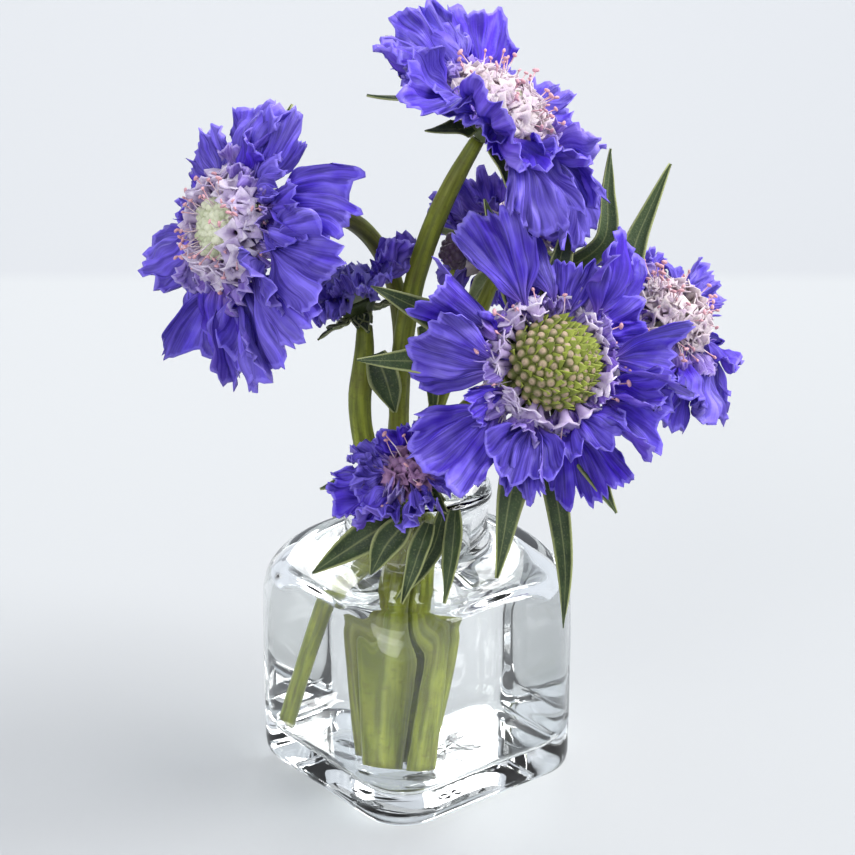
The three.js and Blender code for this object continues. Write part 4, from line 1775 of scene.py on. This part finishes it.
    @staticmethod
    def finish_ends(piece: bpy.types.Object) -> bpy.types.Object:
        """Fill the flat ends with rings of faces that shrink to a small middle.

        Args:
            piece: the turned solid.

        Returns:
            The same solid, smoothed.
        """
        mesh = bmesh.new()
        mesh.from_mesh(piece.data)
        for face in [f for f in mesh.faces if len(f.verts) > 4]:
            for _ in range(4):
                width = min((v.co - face.calc_center_median()).length for v in face.verts)
                bmesh.ops.inset_region(mesh, faces=[face], thickness=width * 0.45)
            bmesh.ops.poke(mesh, faces=[face])
        bmesh.ops.recalc_face_normals(mesh, faces=mesh.faces)
        mesh.to_mesh(piece.data)
        mesh.free()
        apply_modifier(piece, "SUBSURF", levels=1, render_levels=1)
        return piece

    @staticmethod
    def shell(name: str, outside: bpy.types.Object, inside: bpy.types.Object) -> bpy.types.Object:
        """Open both solids at the top and join them there in one wall.

        Args:
            name: the joined piece's name.
            outside: the outer solid.
            inside: the solid of the hollow.

        Returns:
            The wall between them.
        """
        for piece in (outside, inside):
            mesh = bmesh.new()
            mesh.from_mesh(piece.data)
            top = max(v.co.z for v in mesh.verts)
            flat = [f for f in mesh.faces if f.calc_center_median().z > top - 0.02 * MM and f.normal.z > 0.9]
            bmesh.ops.delete(mesh, geom=flat, context="FACES")
            loose = [v for v in mesh.verts if not v.link_faces]
            bmesh.ops.delete(mesh, geom=loose, context="VERTS")
            if piece is inside:
                bmesh.ops.reverse_faces(mesh, faces=mesh.faces)
            mesh.to_mesh(piece.data)
            mesh.free()
        whole = join_pieces(name, [outside, inside])
        mesh = bmesh.new()
        mesh.from_mesh(whole.data)
        rims = [e for e in mesh.edges if e.is_boundary]
        bmesh.ops.bridge_loops(mesh, edges=rims)
        bmesh.ops.recalc_face_normals(mesh, faces=mesh.faces)
        mesh.to_mesh(whole.data)
        mesh.free()
        return whole


def square_reach(angle: float, half: float, corner: float) -> float:
    """How far a rounded square reaches from its centre in one direction.

    Args:
        angle: the direction, radians.
        half: half the square's width.
        corner: the radius of its corners.

    Returns:
        The distance from the centre to the edge.
    """
    a, b = abs(math.cos(angle)), abs(math.sin(angle))
    flat = half / max(a, b)
    centre = half - corner
    if flat * min(a, b) <= centre:
        return flat
    nearest = centre * (a + b)
    return nearest + math.sqrt(max(0.0, nearest ** 2 - 2 * centre ** 2 + corner ** 2))


def soft_min(a: float, b: float, blend: float) -> float:
    """The smaller of two lengths, with the step between them rounded.

    Args:
        a: the first length.
        b: the second length.
        blend: how near the two must be for the step to round.

    Returns:
        The rounded smaller length.
    """
    overlap = max(blend - abs(a - b), 0) / blend
    return min(a, b) - overlap ** 2 * blend / 4


# ---------------------------------------------------------------- studio


@dataclass
class Studio:
    """The floor, the lamps and the camera."""

    elevation: float = math.radians(21.9)
    distance: float = 0.516
    lens: float = 110.5
    aim: Vector = field(default_factory=lambda: Vector((0.0023, 0.0, 0.0728)))

    def build(self, palette: Palette) -> None:
        """Set up the whole studio.

        Args:
            palette: the finishes.
        """
        self.camera()
        self.floor(palette)
        self.lamp("key", (1.9, 0.05, 2.1), 2.0, 140.0)
        self.lamp("fill", (-1.6, -2.7, 1.7), 2.4, 60.0)
        self.lamp("back", (-0.45, 2.7, 1.8), 1.8, 55.0)
        self.sky()

    def camera(self) -> None:
        """Place the camera and look down at the bunch."""
        back = Vector((0, -math.cos(self.elevation), math.sin(self.elevation)))
        clear_selection()
        bpy.ops.object.camera_add(location=self.aim + back * self.distance)
        camera = bpy.context.object
        camera.rotation_euler = back.to_track_quat("Z", "Y").to_euler()
        camera.data.lens = self.lens
        camera.data.sensor_width = 36
        camera.data.clip_start, camera.data.clip_end = 0.01, 20
        bpy.context.scene.camera = camera

    def floor(self, palette: Palette) -> None:
        """A wide, pale table.

        Args:
            palette: the finishes.
        """
        clear_selection()
        bpy.ops.mesh.primitive_plane_add(size=14)
        floor = bpy.context.object
        floor.name = "table"
        floor.data.materials.append(palette.floor)

    def lamp(self, name: str, place: tuple, size: float, power: float) -> None:
        """One square lamp that looks at the bunch.

        Args:
            name: the lamp's name.
            place: where it hangs.
            size: its width.
            power: its power, watts.
        """
        clear_selection()
        bpy.ops.object.light_add(type="AREA", location=place)
        lamp = bpy.context.object
        lamp.name = name
        lamp.rotation_euler = (Vector(place) - self.aim).to_track_quat("Z", "Y").to_euler()
        lamp.data.size = size
        lamp.data.energy = power

    def sky(self) -> None:
        """Even pale light from all round."""
        world = bpy.data.worlds.new("studio")
        bpy.context.scene.world = world
        world.use_nodes = True
        node = world.node_tree.nodes["Background"]
        node.inputs["Color"].default_value = rgb(0.86, 0.92, 1.0)
        node.inputs["Strength"].default_value = 0.92
        bpy.context.scene.view_settings.view_transform = "Standard"


# ---------------------------------------------------------------- assembly


def main() -> None:
    """Build every piece in order, and report each one."""
    logging.basicConfig(level=logging.INFO, format="%(name)s %(message)s")
    palette = Palette()
    sheets, parts = SheetMaker(palette), SmallParts()
    heads = [
        FlowerHead("front", HeadKind.SEEDING, 10, 8, 11, spread=0.66, crumpled=13),
        FlowerHead("left", HeadKind.BUDDED, 11, 10, 22, hang=0.2),
        FlowerHead("top", HeadKind.OPEN, 10, 10, 33, hang=0.05),
        FlowerHead("right", HeadKind.OPEN, 9, 9, 44, hang=0.25, crumpled=7),
        FlowerHead("back", HeadKind.OPEN, 9, 7, 55, crumpled=0),
        FlowerHead("small_left", HeadKind.YOUNG, 8, 6, 66, frill=1.1 * MM, crumpled=0),
        FlowerHead("low", HeadKind.AGED, 8, 6, 77, frill=1.2 * MM, hang=0.35, crumpled=4),
    ]
    for head in heads:
        head.build(sheets, parts, palette)
        Stem(f"stem_{head.name}").build(palette)
    front, low = heads[0].site, heads[-1].site
    for i, node in enumerate(sorted(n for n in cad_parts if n.startswith("bract_front_"))):
        LooseLeaf(node, 4, front.centre, 0.35).build(sheets, 0.13 * i)
    for i, node in enumerate(sorted(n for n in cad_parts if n.startswith("low_leaf_"))):
        LooseLeaf(node, 6, low.centre, 0.45, 1.4).build(sheets, 0.11 * i + 0.05)
    small, back, table = heads[5].site.centre, heads[4].site.centre, Vector()
    tops = {"leaf_drooping": front.centre, "leaf_hanging": small, "leaf_joint": heads[2].site.centre,
            "leaf_upright": table, "leaf_tall_left": back, "leaf_tall_right": back}
    for i, (node, root) in enumerate(tops.items()):
        LooseLeaf(node, 6, root, 0.4, 1.5 if "tall" in node else 1.15).build(sheets, 0.17 * i + 0.3)
    Stem("bud_stalk", sides=6, around=10).build(palette)
    DriedBud().build(parts, palette)
    GlassBottle().build(palette)
    parts.remove()
    Studio().build(palette)


if __name__ == "__main__":
    main()
